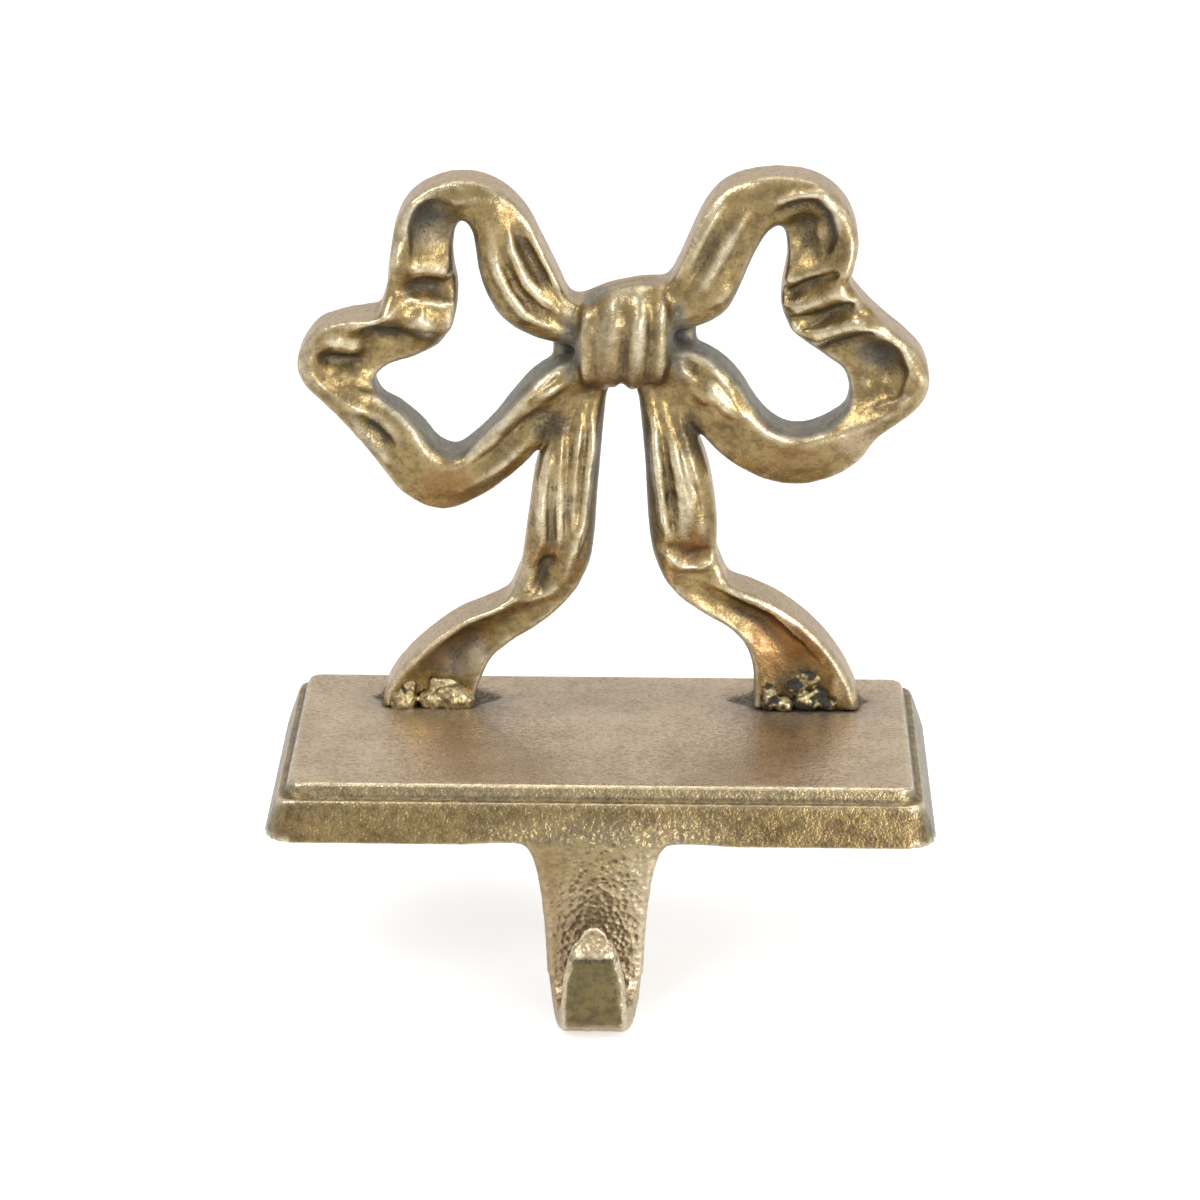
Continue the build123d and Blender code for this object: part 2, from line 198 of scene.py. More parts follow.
@dataclass(frozen=True)
class Fold:
    """A crease drawn on the front of the bow: a line in front view that is raised or sunk.

    Attributes:
        path: Points (x, height over the plate), in millimetres.
        rise: How far its middle stands out, in millimetres; negative sinks it.
        reach: Half width over which it fades out at its widest, in millimetres.
        fade: Share of its length over which each end dies away and narrows.
    """

    path: tuple[tuple[float, float], ...]
    rise: float
    reach: float
    fade: float = 0.4

    def height(self, x: np.ndarray, z: np.ndarray) -> np.ndarray:
        """Rise at places in front view: a bell across the line, higher and wider away from its ends.

        Args:
            x: Places across, in millimetres.
            z: Heights over the plate, in millimetres.

        Returns:
            The rise in millimetres.
        """
        line = np.array(self.path)
        spans = np.linalg.norm(np.diff(line, axis=0), axis=1)
        starts = np.concatenate(([0.0], np.cumsum(spans)))
        away = np.full(len(x), np.inf)
        along = np.zeros(len(x))
        for k, span in enumerate(spans):
            way = (line[k + 1] - line[k]) / span
            dx, dz = x - line[k, 0], z - line[k, 1]
            t = np.clip(dx * way[0] + dz * way[1], 0.0, span)
            distance = np.hypot(dx - t * way[0], dz - t * way[1])
            along = np.where(distance < away, starts[k] + t, along)
            away = np.minimum(distance, away)
        share = along / starts[-1]
        ends = ramp(share, 0.0, self.fade) * ramp(share, 1.0, 1.0 - self.fade)
        width = self.reach * (0.45 + 0.55 * ends)
        return self.rise * np.exp(-((away / width) ** 2)) * ends


class Skin:
    """The skin of a piece as whole arrays: its points, edges and outward normals, in metres."""

    def __init__(self, mesh: bpy.types.Mesh) -> None:
        """Take a closed mesh's arrays.

        Args:
            mesh: The mesh, which the skin keeps and writes back to.
        """
        self.mesh = mesh
        self.points = np.empty((len(mesh.vertices), 3))
        mesh.vertices.foreach_get("co", self.points.ravel())
        self.edges = np.empty((len(mesh.edges), 2), dtype=np.int32)
        mesh.edges.foreach_get("vertices", self.edges.ravel())
        self.neighbours = np.bincount(self.edges.ravel(), minlength=len(self.points))

    @classmethod
    def cast(cls, name: str, points: np.ndarray, faces: np.ndarray, voxel: float) -> "Skin":
        """One closed skin round overlapping closed shells, from a grid of small cubes.

        Args:
            name: Name of the new mesh.
            points: The shells' points.
            faces: The shells' faces, as rows of point numbers.
            voxel: Width of the cubes.

        Returns:
            The new skin.
        """
        raw = bpy.data.meshes.new(name + "_raw")
        raw.from_pydata(points.tolist(), [], faces.tolist())
        holder = bpy.data.objects.new(name + "_raw", raw)
        bpy.context.scene.collection.objects.link(holder)
        remesh = holder.modifiers.new("skin", "REMESH")
        remesh.mode = "VOXEL"
        remesh.voxel_size = voxel
        graph = bpy.context.evaluated_depsgraph_get()
        mesh = bpy.data.meshes.new_from_object(holder.evaluated_get(graph))
        mesh.name = name
        bpy.data.objects.remove(holder)
        bpy.data.meshes.remove(raw)
        return cls(mesh)

    @classmethod
    def of_node(cls, node: bpy.types.Object, voxel: float, *shells: tuple[np.ndarray, np.ndarray]) -> "Skin":
        """A fine skin over one of the frame's solids, its loose triangles merged first, and other shells.

        Args:
            node: The frame's object, which stays as it is.
            voxel: Width of the cubes of the new skin.
            shells: Closed shells to run together with it, as points and triangles.

        Returns:
            The new skin.
        """
        loose = np.empty((len(node.data.vertices), 3))
        node.data.vertices.foreach_get("co", loose.ravel())
        faces = np.empty((len(node.data.polygons), 3), dtype=np.int32)
        node.data.polygons.foreach_get("vertices", faces.ravel())
        _, kept, number = np.unique(np.round(loose / 1e-6), axis=0, return_index=True, return_inverse=True)
        merged = number.ravel()[faces]
        whole = (np.diff(np.sort(merged, axis=1), axis=1) > 0).all(axis=1)
        points, triangles = together([(loose[kept], merged[whole]), *shells])
        return cls.cast(node.name + "_skin", points, triangles, voxel)

    def mean_of_neighbours(self, values: np.ndarray) -> np.ndarray:
        """For each point, the mean of some columns of numbers over the points that it has edges to."""
        a, b = self.edges.T
        columns = [
            np.bincount(a, column[b], len(column)) + np.bincount(b, column[a], len(column))
            for column in values.T
        ]
        return np.stack(columns, axis=1) / self.neighbours[:, None]

    def smoothed(self, values: np.ndarray, rounds: int) -> np.ndarray:
        """Columns of numbers after some rounds of moving each halfway to its neighbours' mean."""
        for _ in range(rounds):
            values = 0.5 * (values + self.mean_of_neighbours(values))
        return values

    def relax(self, rounds: int, weight: np.ndarray | float = 1.0) -> None:
        """Round the skin off without shrinking it: each round smooths by a half and unsmooths a little more.

        Args:
            rounds: How often.
            weight: How strongly at each point, from 0 to 1.
        """
        strength = np.broadcast_to(weight, len(self.points))[:, None]
        for _ in range(rounds):
            for pull in (0.5, -0.52):
                step = self.mean_of_neighbours(self.points) - self.points
                self.points = self.points + pull * strength * step

    def soften(self, rounds: int, weight: np.ndarray | float = 1.0) -> None:
        """Melt the skin's edges: each round moves a point by half its weight to its neighbours' mean.

        Args:
            rounds: How often.
            weight: How strongly at each point, from 0 to 1.
        """
        strength = 0.5 * np.broadcast_to(weight, len(self.points))[:, None]
        for _ in range(rounds):
            self.points = self.points + strength * (self.mean_of_neighbours(self.points) - self.points)

    def normals(self) -> np.ndarray:
        """Outward normals of the points as they stand now."""
        self.mesh.vertices.foreach_set("co", np.ascontiguousarray(self.points, dtype=np.float32).ravel())
        self.mesh.update()
        normals = np.empty((len(self.points), 3))
        self.mesh.vertex_normals.foreach_get("vector", normals.ravel())
        return normals

    def push(self, height: np.ndarray, normals: np.ndarray) -> None:
        """Move each point along its normal by its height."""
        self.points = self.points + height[:, None] * normals

    def bulge(self, rounds: int) -> np.ndarray:
        """How far each point stands out of the skin after so many rounds of smoothing, in millimetres."""
        return np.sum((self.points - self.smoothed(self.points, rounds)) * self.normals(), axis=1) / MM

    def note(self, trait: Trait, values: np.ndarray) -> None:
        """Write a trait into the mesh as a point attribute, held from 0 to 1."""
        layer = self.mesh.attributes.new(trait.value, "FLOAT", "POINT")
        layer.data.foreach_set("value", np.clip(values, 0.0, 1.0).astype(np.float32))

    def piece(self, name: str, material: bpy.types.Material) -> bpy.types.Object:
        """Finish the mesh as a smooth-shaded object at the origin.

        Args:
            name: Name of the object.
            material: Its finish.

        Returns:
            The object, linked to the scene.
        """
        self.normals()
        self.mesh.shade_smooth()
        self.mesh.materials.clear()
        self.mesh.materials.append(material)
        made = bpy.data.objects.new(name, self.mesh)
        bpy.context.scene.collection.objects.link(made)
        return made


def lumpy_ball(
    middle: np.ndarray, size: np.ndarray, grain: Grain, lumpiness: float
) -> tuple[np.ndarray, np.ndarray]:
    """A ball on a grid of two angles: a unit ball's point times one plus noise, times the half widths.

    Args:
        middle: The ball's middle.
        size: Its half widths.
        grain: Noise that makes it lumpy.
        lumpiness: Strength of the noise, beside the half widths.

    Returns:
        The ball's points, and its triangles as rows of point numbers.
    """
    around, down = 36, 18
    turn, fall = np.meshgrid(np.arange(around) * 2 * pi / around, (np.arange(down) + 0.5) * pi / down)
    ball = np.stack([np.cos(turn) * np.sin(fall), np.sin(turn) * np.sin(fall), np.cos(fall)], axis=-1)
    ball = np.concatenate([ball.reshape(-1, 3), [[0.0, 0.0, 1.0], [0.0, 0.0, -1.0]]])
    lumps = 1.0 + lumpiness * grain.layered(ball + 600.0 * middle, 0.8)
    number = np.arange(around * down).reshape(down, around)
    beside = np.roll(number, -1, axis=1)
    top, end = np.full((2, around), around * down) + [[0], [1]]
    triangles = [
        np.stack([number[:-1], number[1:], beside[1:]], axis=-1).reshape(-1, 3),
        np.stack([number[:-1], beside[1:], beside[:-1]], axis=-1).reshape(-1, 3),
        np.stack([top, number[0], beside[0]], axis=-1),
        np.stack([end, beside[-1], number[-1]], axis=-1),
    ]
    return middle + ball * lumps[:, None] * size, np.concatenate(triangles)


def together(shells: list[tuple[np.ndarray, np.ndarray]]) -> tuple[np.ndarray, np.ndarray]:
    """Several shells' points and triangles in one pair of arrays."""
    starts = np.cumsum([0] + [len(points) for points, _ in shells])
    triangles = [faces + start for (_, faces), start in zip(shells, starts)]
    return np.concatenate([points for points, _ in shells]), np.concatenate(triangles)


class Value:
    """A socket of numbers in a shader: sums and products of it add Math nodes."""

    def __init__(self, shader: "Shader", socket: bpy.types.NodeSocket) -> None:
        """Wrap a socket of a shader."""
        self.shader = shader
        self.socket = socket

    def _math(self, operation: str, first: Any, second: Any = 0.0, clamp: bool = False) -> "Value":
        """A Math node on two numbers or values."""
        settings = {"operation": operation, "use_clamp": clamp}
        return self.shader.node("ShaderNodeMath", settings, {0: first, 1: second}).value(0)

    def __add__(self, other: Any) -> "Value":
        """This value and another."""
        return self._math("ADD", self, other)

    __radd__ = __add__

    def __sub__(self, other: Any) -> "Value":
        """This value less another."""
        return self._math("SUBTRACT", self, other)

    def __rsub__(self, other: Any) -> "Value":
        """A number less this value."""
        return self._math("SUBTRACT", other, self)

    def __mul__(self, other: Any) -> "Value":
        """This value times another."""
        return self._math("MULTIPLY", self, other)

    __rmul__ = __mul__

    def clamped(self) -> "Value":
        """This value held from 0 to 1."""
        return self._math("ADD", self, 0.0, clamp=True)

    def step(self, low: float, high: float) -> "Value":
        """0 below low and 1 above high, smooth between."""
        settings = {"interpolation_type": "SMOOTHSTEP"}
        sockets = {"Value": self, "From Min": low, "From Max": high}
        return self.shader.node("ShaderNodeMapRange", settings, sockets).value("Result")


class Made:
    """A node that a shader has added."""

    def __init__(self, shader: "Shader", node: bpy.types.Node) -> None:
        """Wrap a node of a shader."""
        self.shader = shader
        self.node = node

    def value(self, output: str | int) -> Value:
        """One of the node's outputs."""
        return Value(self.shader, self.shader.find(self.node.outputs, output))


class Shader:
    """The nodes of a material or a world, added by expressions."""

    def __init__(self, owner: Any) -> None:
        """Start with no nodes.

        Args:
            owner: The new material or world.
        """
        self.owner = owner
        owner.use_nodes = True
        self.tree = owner.node_tree
        self.tree.nodes.clear()

    @staticmethod
    def find(sockets: Any, key: str | int) -> bpy.types.NodeSocket:
        """A socket by its number, identifier or name."""
        if isinstance(key, int):
            return sockets[key]
        return next((s for s in sockets if s.identifier == key), None) or sockets[key]

    def node(self, kind: str, settings: dict[str, Any], sockets: dict[str | int, Any]) -> Made:
        """Add a node.

        Args:
            kind: The node's type.
            settings: Its properties, which are set first.
            sockets: Numbers, colours or values for its inputs.

        Returns:
            The node.
        """
        node = self.tree.nodes.new(kind)
        for key, setting in settings.items():
            setattr(node, key, setting)
        for key, given in sockets.items():
            socket = self.find(node.inputs, key)
            if isinstance(given, Value):
                self.tree.links.new(given.socket, socket)
            else:
                socket.default_value = given
        return Made(self, node)

    def trait(self, trait: Trait) -> Value:
        """A trait of the skin."""
        return self.node("ShaderNodeAttribute", {"attribute_name": trait.value}, {}).value("Fac")

    def place(self, stretch: tuple[float, float, float] = (1.0, 1.0, 1.0)) -> Value:
        """Object coordinates in millimetres, stretched along the axes."""
        where = self.node("ShaderNodeTexCoord", {}, {}).value("Object")
        scale = tuple(1.0 / (MM * s) for s in stretch)
        return self.node("ShaderNodeMapping", {}, {"Vector": where, "Scale": scale}).value("Vector")

    def noise(self, where: Value, size: float, detail: float = 3.0, rough: float = 0.55) -> Value:
        """Noise with features of about a size in millimetres."""
        sockets = {"Vector": where, "Scale": 1.0 / size, "Detail": detail, "Roughness": rough}
        return self.node("ShaderNodeTexNoise", {}, sockets).value("Fac")

    def mix(self, share: Any, first: Any, second: Any) -> Value:
        """A colour between two others."""
        sockets = {"Factor_Float": share, "A_Color": first, "B_Color": second}
        return self.node("ShaderNodeMix", {"data_type": "RGBA"}, sockets).value("Result_Color")

    def dents(self, where: Value, size: float) -> Value:
        """Round hollows side by side, of about a size in millimetres: how far the nearest one's middle is."""
        settings = {"feature": "SMOOTH_F1"}
        sockets = {"Vector": where, "Scale": 1.0 / size, "Smoothness": 0.25}
        return self.node("ShaderNodeTexVoronoi", settings, sockets).value("Distance")

    def bump(self, height: Value, distance: float, strength: float) -> Value:
        """A normal tilted by a height, in which 1 stands for the distance."""
        sockets = {"Height": height, "Distance": distance, "Strength": strength}
        return self.node("ShaderNodeBump", {}, sockets).value("Normal")

    def seen(self) -> Value:
        """1 for rays from the camera, off a shiny face or through a clear one, and 0 for the rest."""
        path = self.node("ShaderNodeLightPath", {}, {})
        rays = path.value("Is Camera Ray") + path.value("Is Glossy Ray") + path.value("Is Transmission Ray")
        return rays.clamped()

    def finish(self, surface: Value, output: str = "ShaderNodeOutputMaterial") -> Any:
        """Link the surface to the output, and give back the material or world."""
        self.node(output, {}, {"Surface": surface})
        return self.owner


def tone(red: int, green: int, blue: int) -> tuple[float, float, float, float]:
    """A linear colour from its screen values, from 0 to 255."""
    shares = np.array([red, green, blue]) / 255.0
    linear = np.where(shares <= 0.04045, shares / 12.92, ((shares + 0.055) / 1.055) ** 2.4)
    return (*(float(c) for c in linear), 1.0)


Colour = tuple[float, float, float, float]


@dataclass(frozen=True)
class AgedBrass:
    """Antique brass: rubbed gold and painted highlight on what stands out, olive brown between, dark patina
    and painted shade in what is sunk, and walls painted lighter or greyer as light falls on them.
    """

    gold: Colour = tone(161, 138, 91)
    brown: Colour = tone(96, 78, 49)
    # bright: rubbed gold, and the painted highlight on ridges and patches.
    bright: Colour = tone(238, 225, 194)
    # tan: the plate top's own tone, and painted light on outward walls and the lower hook.
    tan: Colour = tone(200, 178, 152)
    # grey: oxide, and painted shade on inward walls and in gaps.
    grey: Colour = tone(120, 121, 117)
    dark: Colour = tone(44, 42, 37)
    olive: Colour = tone(108, 97, 66)
    # copper: rubbed-through copper, and painted shade on the knot's lower half and the strap's left side.
    copper: Colour = tone(140, 100, 60)
    worn: Colour = tone(132, 110, 80)

    def material(self) -> bpy.types.Material:
        """The finish as a material.

        Returns:
            The material, which reads the skin's traits.
        """
        s = Shader(bpy.data.materials.new("aged_brass"))
        here = s.place()
        patches = s.noise(here, 8.0, 2.0).step(0.38, 0.66)
        mottle = s.noise(here, 1.8, 5.0, 0.65).step(0.40, 0.64)
        specks = s.noise(here, 0.5, 2.0).step(0.52, 0.70)
        dashes = s.noise(s.place((3.0, 1.6, 1.0)), 0.26, 2.0).step(0.46, 0.68)
        pores = s.noise(here, 0.55, 2.0)
        soot = s.noise(here, 0.7, 4.0, 0.8).step(0.42, 0.57)
        hollow, ridge = s.trait(Trait.HOLLOW), s.trait(Trait.RUBBED_AND_HIGHLIGHT)
        tan, grey, stain = s.trait(Trait.TAN), s.trait(Trait.GREY_AND_SHADE), s.trait(Trait.STAIN_AND_SHADE)
        brushed, olive, copper = s.trait(Trait.BRUSHED), s.trait(Trait.OLIVE), s.trait(Trait.COPPER_AND_SHADE)
        hammered, pitted = s.trait(Trait.HAMMERED), s.trait(Trait.PITTED)

        # Darkening: patina in the hollows, burns, and the painted shade that the dark trait carries.
        sunk = hollow * (0.7 + 0.5 * specks) + stain * (0.45 + 0.6 * soot) + 0.3 * specks * (1.0 - brushed)
        sunk = (sunk + 0.5 * pitted * pores.step(0.46, 0.30) + 0.3 * olive * mottle).clamped()
        aged = (0.12 + 0.45 * mottle + 0.3 * patches + 0.25 * pitted).clamped()
        colour = s.mix(aged, self.gold, self.brown)
        # Copper tone: rubbed through, and painted shade on the knot's lower half and the strap's left side.
        colour = s.mix(0.75 * copper, colour, self.copper)
        # Tan tone: the top's own colour, and painted light on outward walls and the lower hook.
        colour = s.mix(tan * (0.92 - 0.25 * specks), colour, self.tan)
        # Grey tone: oxide, and painted shade on inward walls and in gaps.
        colour = s.mix(grey * (0.3 + 0.65 * soot) + 0.13 * soot * (1.0 - brushed), colour, self.grey)
        colour = s.mix(0.12 * hammered, colour, self.bright)
        # Painted highlight on what stands out, mixed with rubbed wear.
        colour = s.mix(ridge * (0.6 - 0.2 * mottle), colour, self.bright)
        colour = s.mix(brushed * (0.5 * dashes + 0.2 * patches), colour, self.worn)
        colour = s.mix(olive * (0.95 - 0.3 * patches), colour, self.olive)
        colour = s.mix(0.85 * sunk, colour, self.dark)

        rough = 0.27 + 0.09 * mottle - 0.05 * ridge + 0.2 * sunk + 0.15 * tan + 0.18 * grey + 0.15 * olive
        rough = rough - 0.17 * brushed
        metal = 1.0 - 0.4 * sunk - 0.25 * grey - 0.12 * tan
        dents = s.dents(here, 1.15)
        height = s.noise(here, 0.7, 3.0) + 0.6 * s.noise(here, 2.2) + 3.8 * hammered * dents
        height = height + 1.6 * pitted * pores - 0.4 * brushed * dashes
        normal = s.bump(height, 0.09 * MM, 0.9)
        rough, metal = rough.clamped(), metal.clamped()
        sockets = {"Base Color": colour, "Roughness": rough, "Metallic": metal, "Normal": normal}
        return s.finish(s.node("ShaderNodeBsdfPrincipled", {}, sockets).value("BSDF"))


@dataclass(frozen=True)
class Filler:
    """Brazing filler: pale gold lumps with dark burnt grains between."""

    gold: Colour = tone(188, 172, 132)
    brown: Colour = tone(112, 95, 66)
    dark: Colour = tone(38, 36, 32)

    def material(self) -> bpy.types.Material:
        """The finish as a material.

        Returns:
            The material, which reads the skin's traits.
        """
        s = Shader(bpy.data.materials.new("filler"))
        here = s.place()
        patches = s.noise(here, 1.6).step(0.4, 0.65)
        sunk = (s.trait(Trait.HOLLOW) + s.trait(Trait.STAIN_AND_SHADE)).clamped()
        colour = s.mix(0.7 * patches, self.gold, self.brown)
        colour = s.mix(0.95 * sunk, colour, self.dark)
        normal = s.bump(s.noise(here, 0.5), 0.06 * MM, 0.7)
        rough = 0.36 + 0.3 * sunk + 0.1 * patches
        metal = 1.0 - 0.5 * sunk
        sockets = {"Base Color": colour, "Roughness": rough, "Metallic": metal.clamped(), "Normal": normal}
        return s.finish(s.node("ShaderNodeBsdfPrincipled", {}, sockets).value("BSDF"))


@dataclass(frozen=True)
class Oval:
    """An oval in front view that fades out.

    Attributes:
        middle: Its middle (x, height over the plate), in millimetres.
        reach: Its half widths across and up, in millimetres.
    """

    middle: tuple[float, float]
    reach: tuple[float, float]

    def share(self, x: np.ndarray, z: np.ndarray) -> np.ndarray:
        """How far places in front view are in it: 1 in its inner part and a smooth step down to its edge."""
        far = np.hypot((x - self.middle[0]) / self.reach[0], (z - self.middle[1]) / self.reach[1])
        return ramp(far, 1.0, 0.4)


@dataclass(frozen=True)
class Patch:
    """A patch of the finish on the front of a casting: what there is more of, where, and how much."""

    trait: Trait
    oval: Oval
    strength: float


@dataclass
class Bow:
    """The bow casting: soft folds, dark crevices with painted shade, and walls rubbed less than the front,
    painted lighter where they face out and greyer with painted shade where they face the openings.

    Attributes that end in share are parts of its box's width or height.

    Attributes:
        middle_share: The knot's place across.
        loop_share: How far a loop's middle is from the knot across, and how high it is.
        gap_share: Half width and top of the gap between the tails.
        feet_share: Top of the feet.
    """

    node: bpy.types.Object
    plate_top: float
    voxel: float = 0.49 * MM
    softness: int = 24
    melting: int = 12
    flattening: int = 50
    waviness_mm: float = 0.14
    pitting_mm: float = 0.035
    rubbing: int = 2
    knot: Oval = Oval((3.7, 76.5), (15.0, 16.0))
    crown: Oval = Oval((2.8, 88.0), (11.0, 7.5))
    crown_mm: float = 1.9
    wave_size_mm: float = 4.0
    pit_size_mm: float = 1.1
    middle_share: float = 0.52
    loop_share: tuple[float, float] = (0.25, 0.68)
    gap_share: tuple[float, float] = (0.16, 0.58)
    feet_share: float = 0.38
    flattened: tuple[Oval, ...] = ()
    folds: tuple[Fold, ...] = ()
    patches: tuple[Patch, ...] = ()
    grain: Grain = Grain(11)
    skin: Skin = field(init=False)

    def front_view(self) -> tuple[np.ndarray, np.ndarray]:
        """Places of the skin's points in front view: x and height over the plate, in millimetres."""
        return self.skin.points[:, Axis.X] / MM, (self.skin.points[:, Axis.Z] - self.plate_top) / MM

    @staticmethod
    def facing(normals: np.ndarray) -> np.ndarray:
        """How far each normal turns to the front, as a smooth step."""
        return ramp(-normals[:, Axis.Y], 0.1, 0.5)

    def build(self) -> None:
        """Re-skin the casting, round it off, and press its folds and its cast waviness into it."""
        self.skin = Skin.of_node(self.node, self.voxel)
        self.skin.relax(self.softness)
        self.skin.soften(self.melting)
        normals = self.skin.normals()
        x, z = self.front_view()
        worked = sum((oval.share(x, z) for oval in self.flattened), np.zeros(len(x)))
        pressed = np.maximum(self.facing(normals) * worked, 0.6 * self.knot.share(x, z))
        self.skin.soften(self.flattening, pressed)
        crown = self.crown.share(x, z)
        self.skin.soften(2 * self.flattening, crown)
        self.skin.points[:, Axis.Z] += self.crown_mm * MM * crown * ramp(normals[:, Axis.Z], 0.0, 0.6)
        normals = self.skin.normals()
        height = sum((fold.height(x, z) for fold in self.folds), np.zeros(len(x)))
        waves = self.waviness_mm * self.grain.layered(self.skin.points, self.wave_size_mm * MM)
        pits = self.pitting_mm * self.grain.layered(self.skin.points, self.pit_size_mm * MM, 2)
        self.skin.push((self.facing(normals) * (height + waves) + pits) * MM, normals)
        self.skin.soften(self.rubbing)

    def dress(self, finish: bpy.types.Material) -> bpy.types.Object:
        """Read the finish's traits off the shape, and add the patches to them.

        Args:
            finish: The casting's finish.

        Returns:
            The finished piece.
        """
        normals = self.skin.normals()
        fine, middle, broad = self.skin.bulge(6), self.skin.bulge(30), self.skin.bulge(120)
        front = ramp(-normals[:, Axis.Y], 0.15, 0.6)
        back = ramp(normals[:, Axis.Y], 0.5, 0.9)
        wall = 1.0 - front
        inward = self.facing_an_opening(normals)
        inside = self.skin.smoothed((wall * inward)[:, None], 24)[:, 0]
        rubbed = self.skin.smoothed((ramp(fine + 0.6 * middle, 0.08, 0.34) * front)[:, None], 3)[:, 0]
        x, z = self.front_view()
        traits = {
            Trait.HOLLOW: ramp(-middle - 0.35 * broad, 0.12, 0.75),
            # Rubbed wear, partly a painted highlight, on what stands out.
            Trait.RUBBED_AND_HIGHLIGHT: rubbed * (1.0 - 0.25 * self.knot.share(x, z)),
            # Painted light on walls that face away from the openings, less on the back.
            Trait.TAN: wall * (1.0 - inward) * (0.75 - 0.4 * back) * (1.0 - 0.6 * self.crown.share(x, z)),
            # Grey oxide with painted shade on walls that face the openings.
            Trait.GREY_AND_SHADE: ramp(inside, 0.04, 0.3) * (1.0 - 0.8 * back),
            Trait.COPPER_AND_SHADE: np.zeros(len(normals)),
            Trait.STAIN_AND_SHADE: np.zeros(len(normals)),
        }
        for patch in self.patches:
            traits[patch.trait] = traits[patch.trait] + front * patch.strength * patch.oval.share(x, z)
        for trait, values in traits.items():
            self.skin.note(trait, values)
        return self.skin.piece("bow_casting", finish)

    def facing_an_opening(self, normals: np.ndarray) -> np.ndarray:
        """How far each wall faces the opening beside it: a loop's middle, or the gap between the tails.

        Args:
            normals: The skin's normals.

        Returns:
            From 0, facing out, to 1, facing in.
        """
        low, high = self.skin.points.min(axis=0), self.skin.points.max(axis=0)
        width, _, tall = high - low
        middle = low[Axis.X] + self.middle_share * width
        x, z = self.skin.points[:, Axis.X], self.skin.points[:, Axis.Z]
        rise = (z - low[Axis.Z]) / tall
        loop_x = middle + np.sign(x - middle) * self.loop_share[0] * width
        loop_z = low[Axis.Z] + self.loop_share[1] * tall
        gap = (np.abs(x - middle) < self.gap_share[0] * width) & (rise < self.gap_share[1])
        tails = gap | (rise < self.feet_share)
        to_x = np.where(tails, middle, loop_x) - x
        to_z = np.where(tails, z, loop_z) - z
        far = np.maximum(np.hypot(to_x, to_z), 1e-6)
        return ramp((normals[:, Axis.X] * to_x + normals[:, Axis.Z] * to_z) / far, -0.1, 0.3)


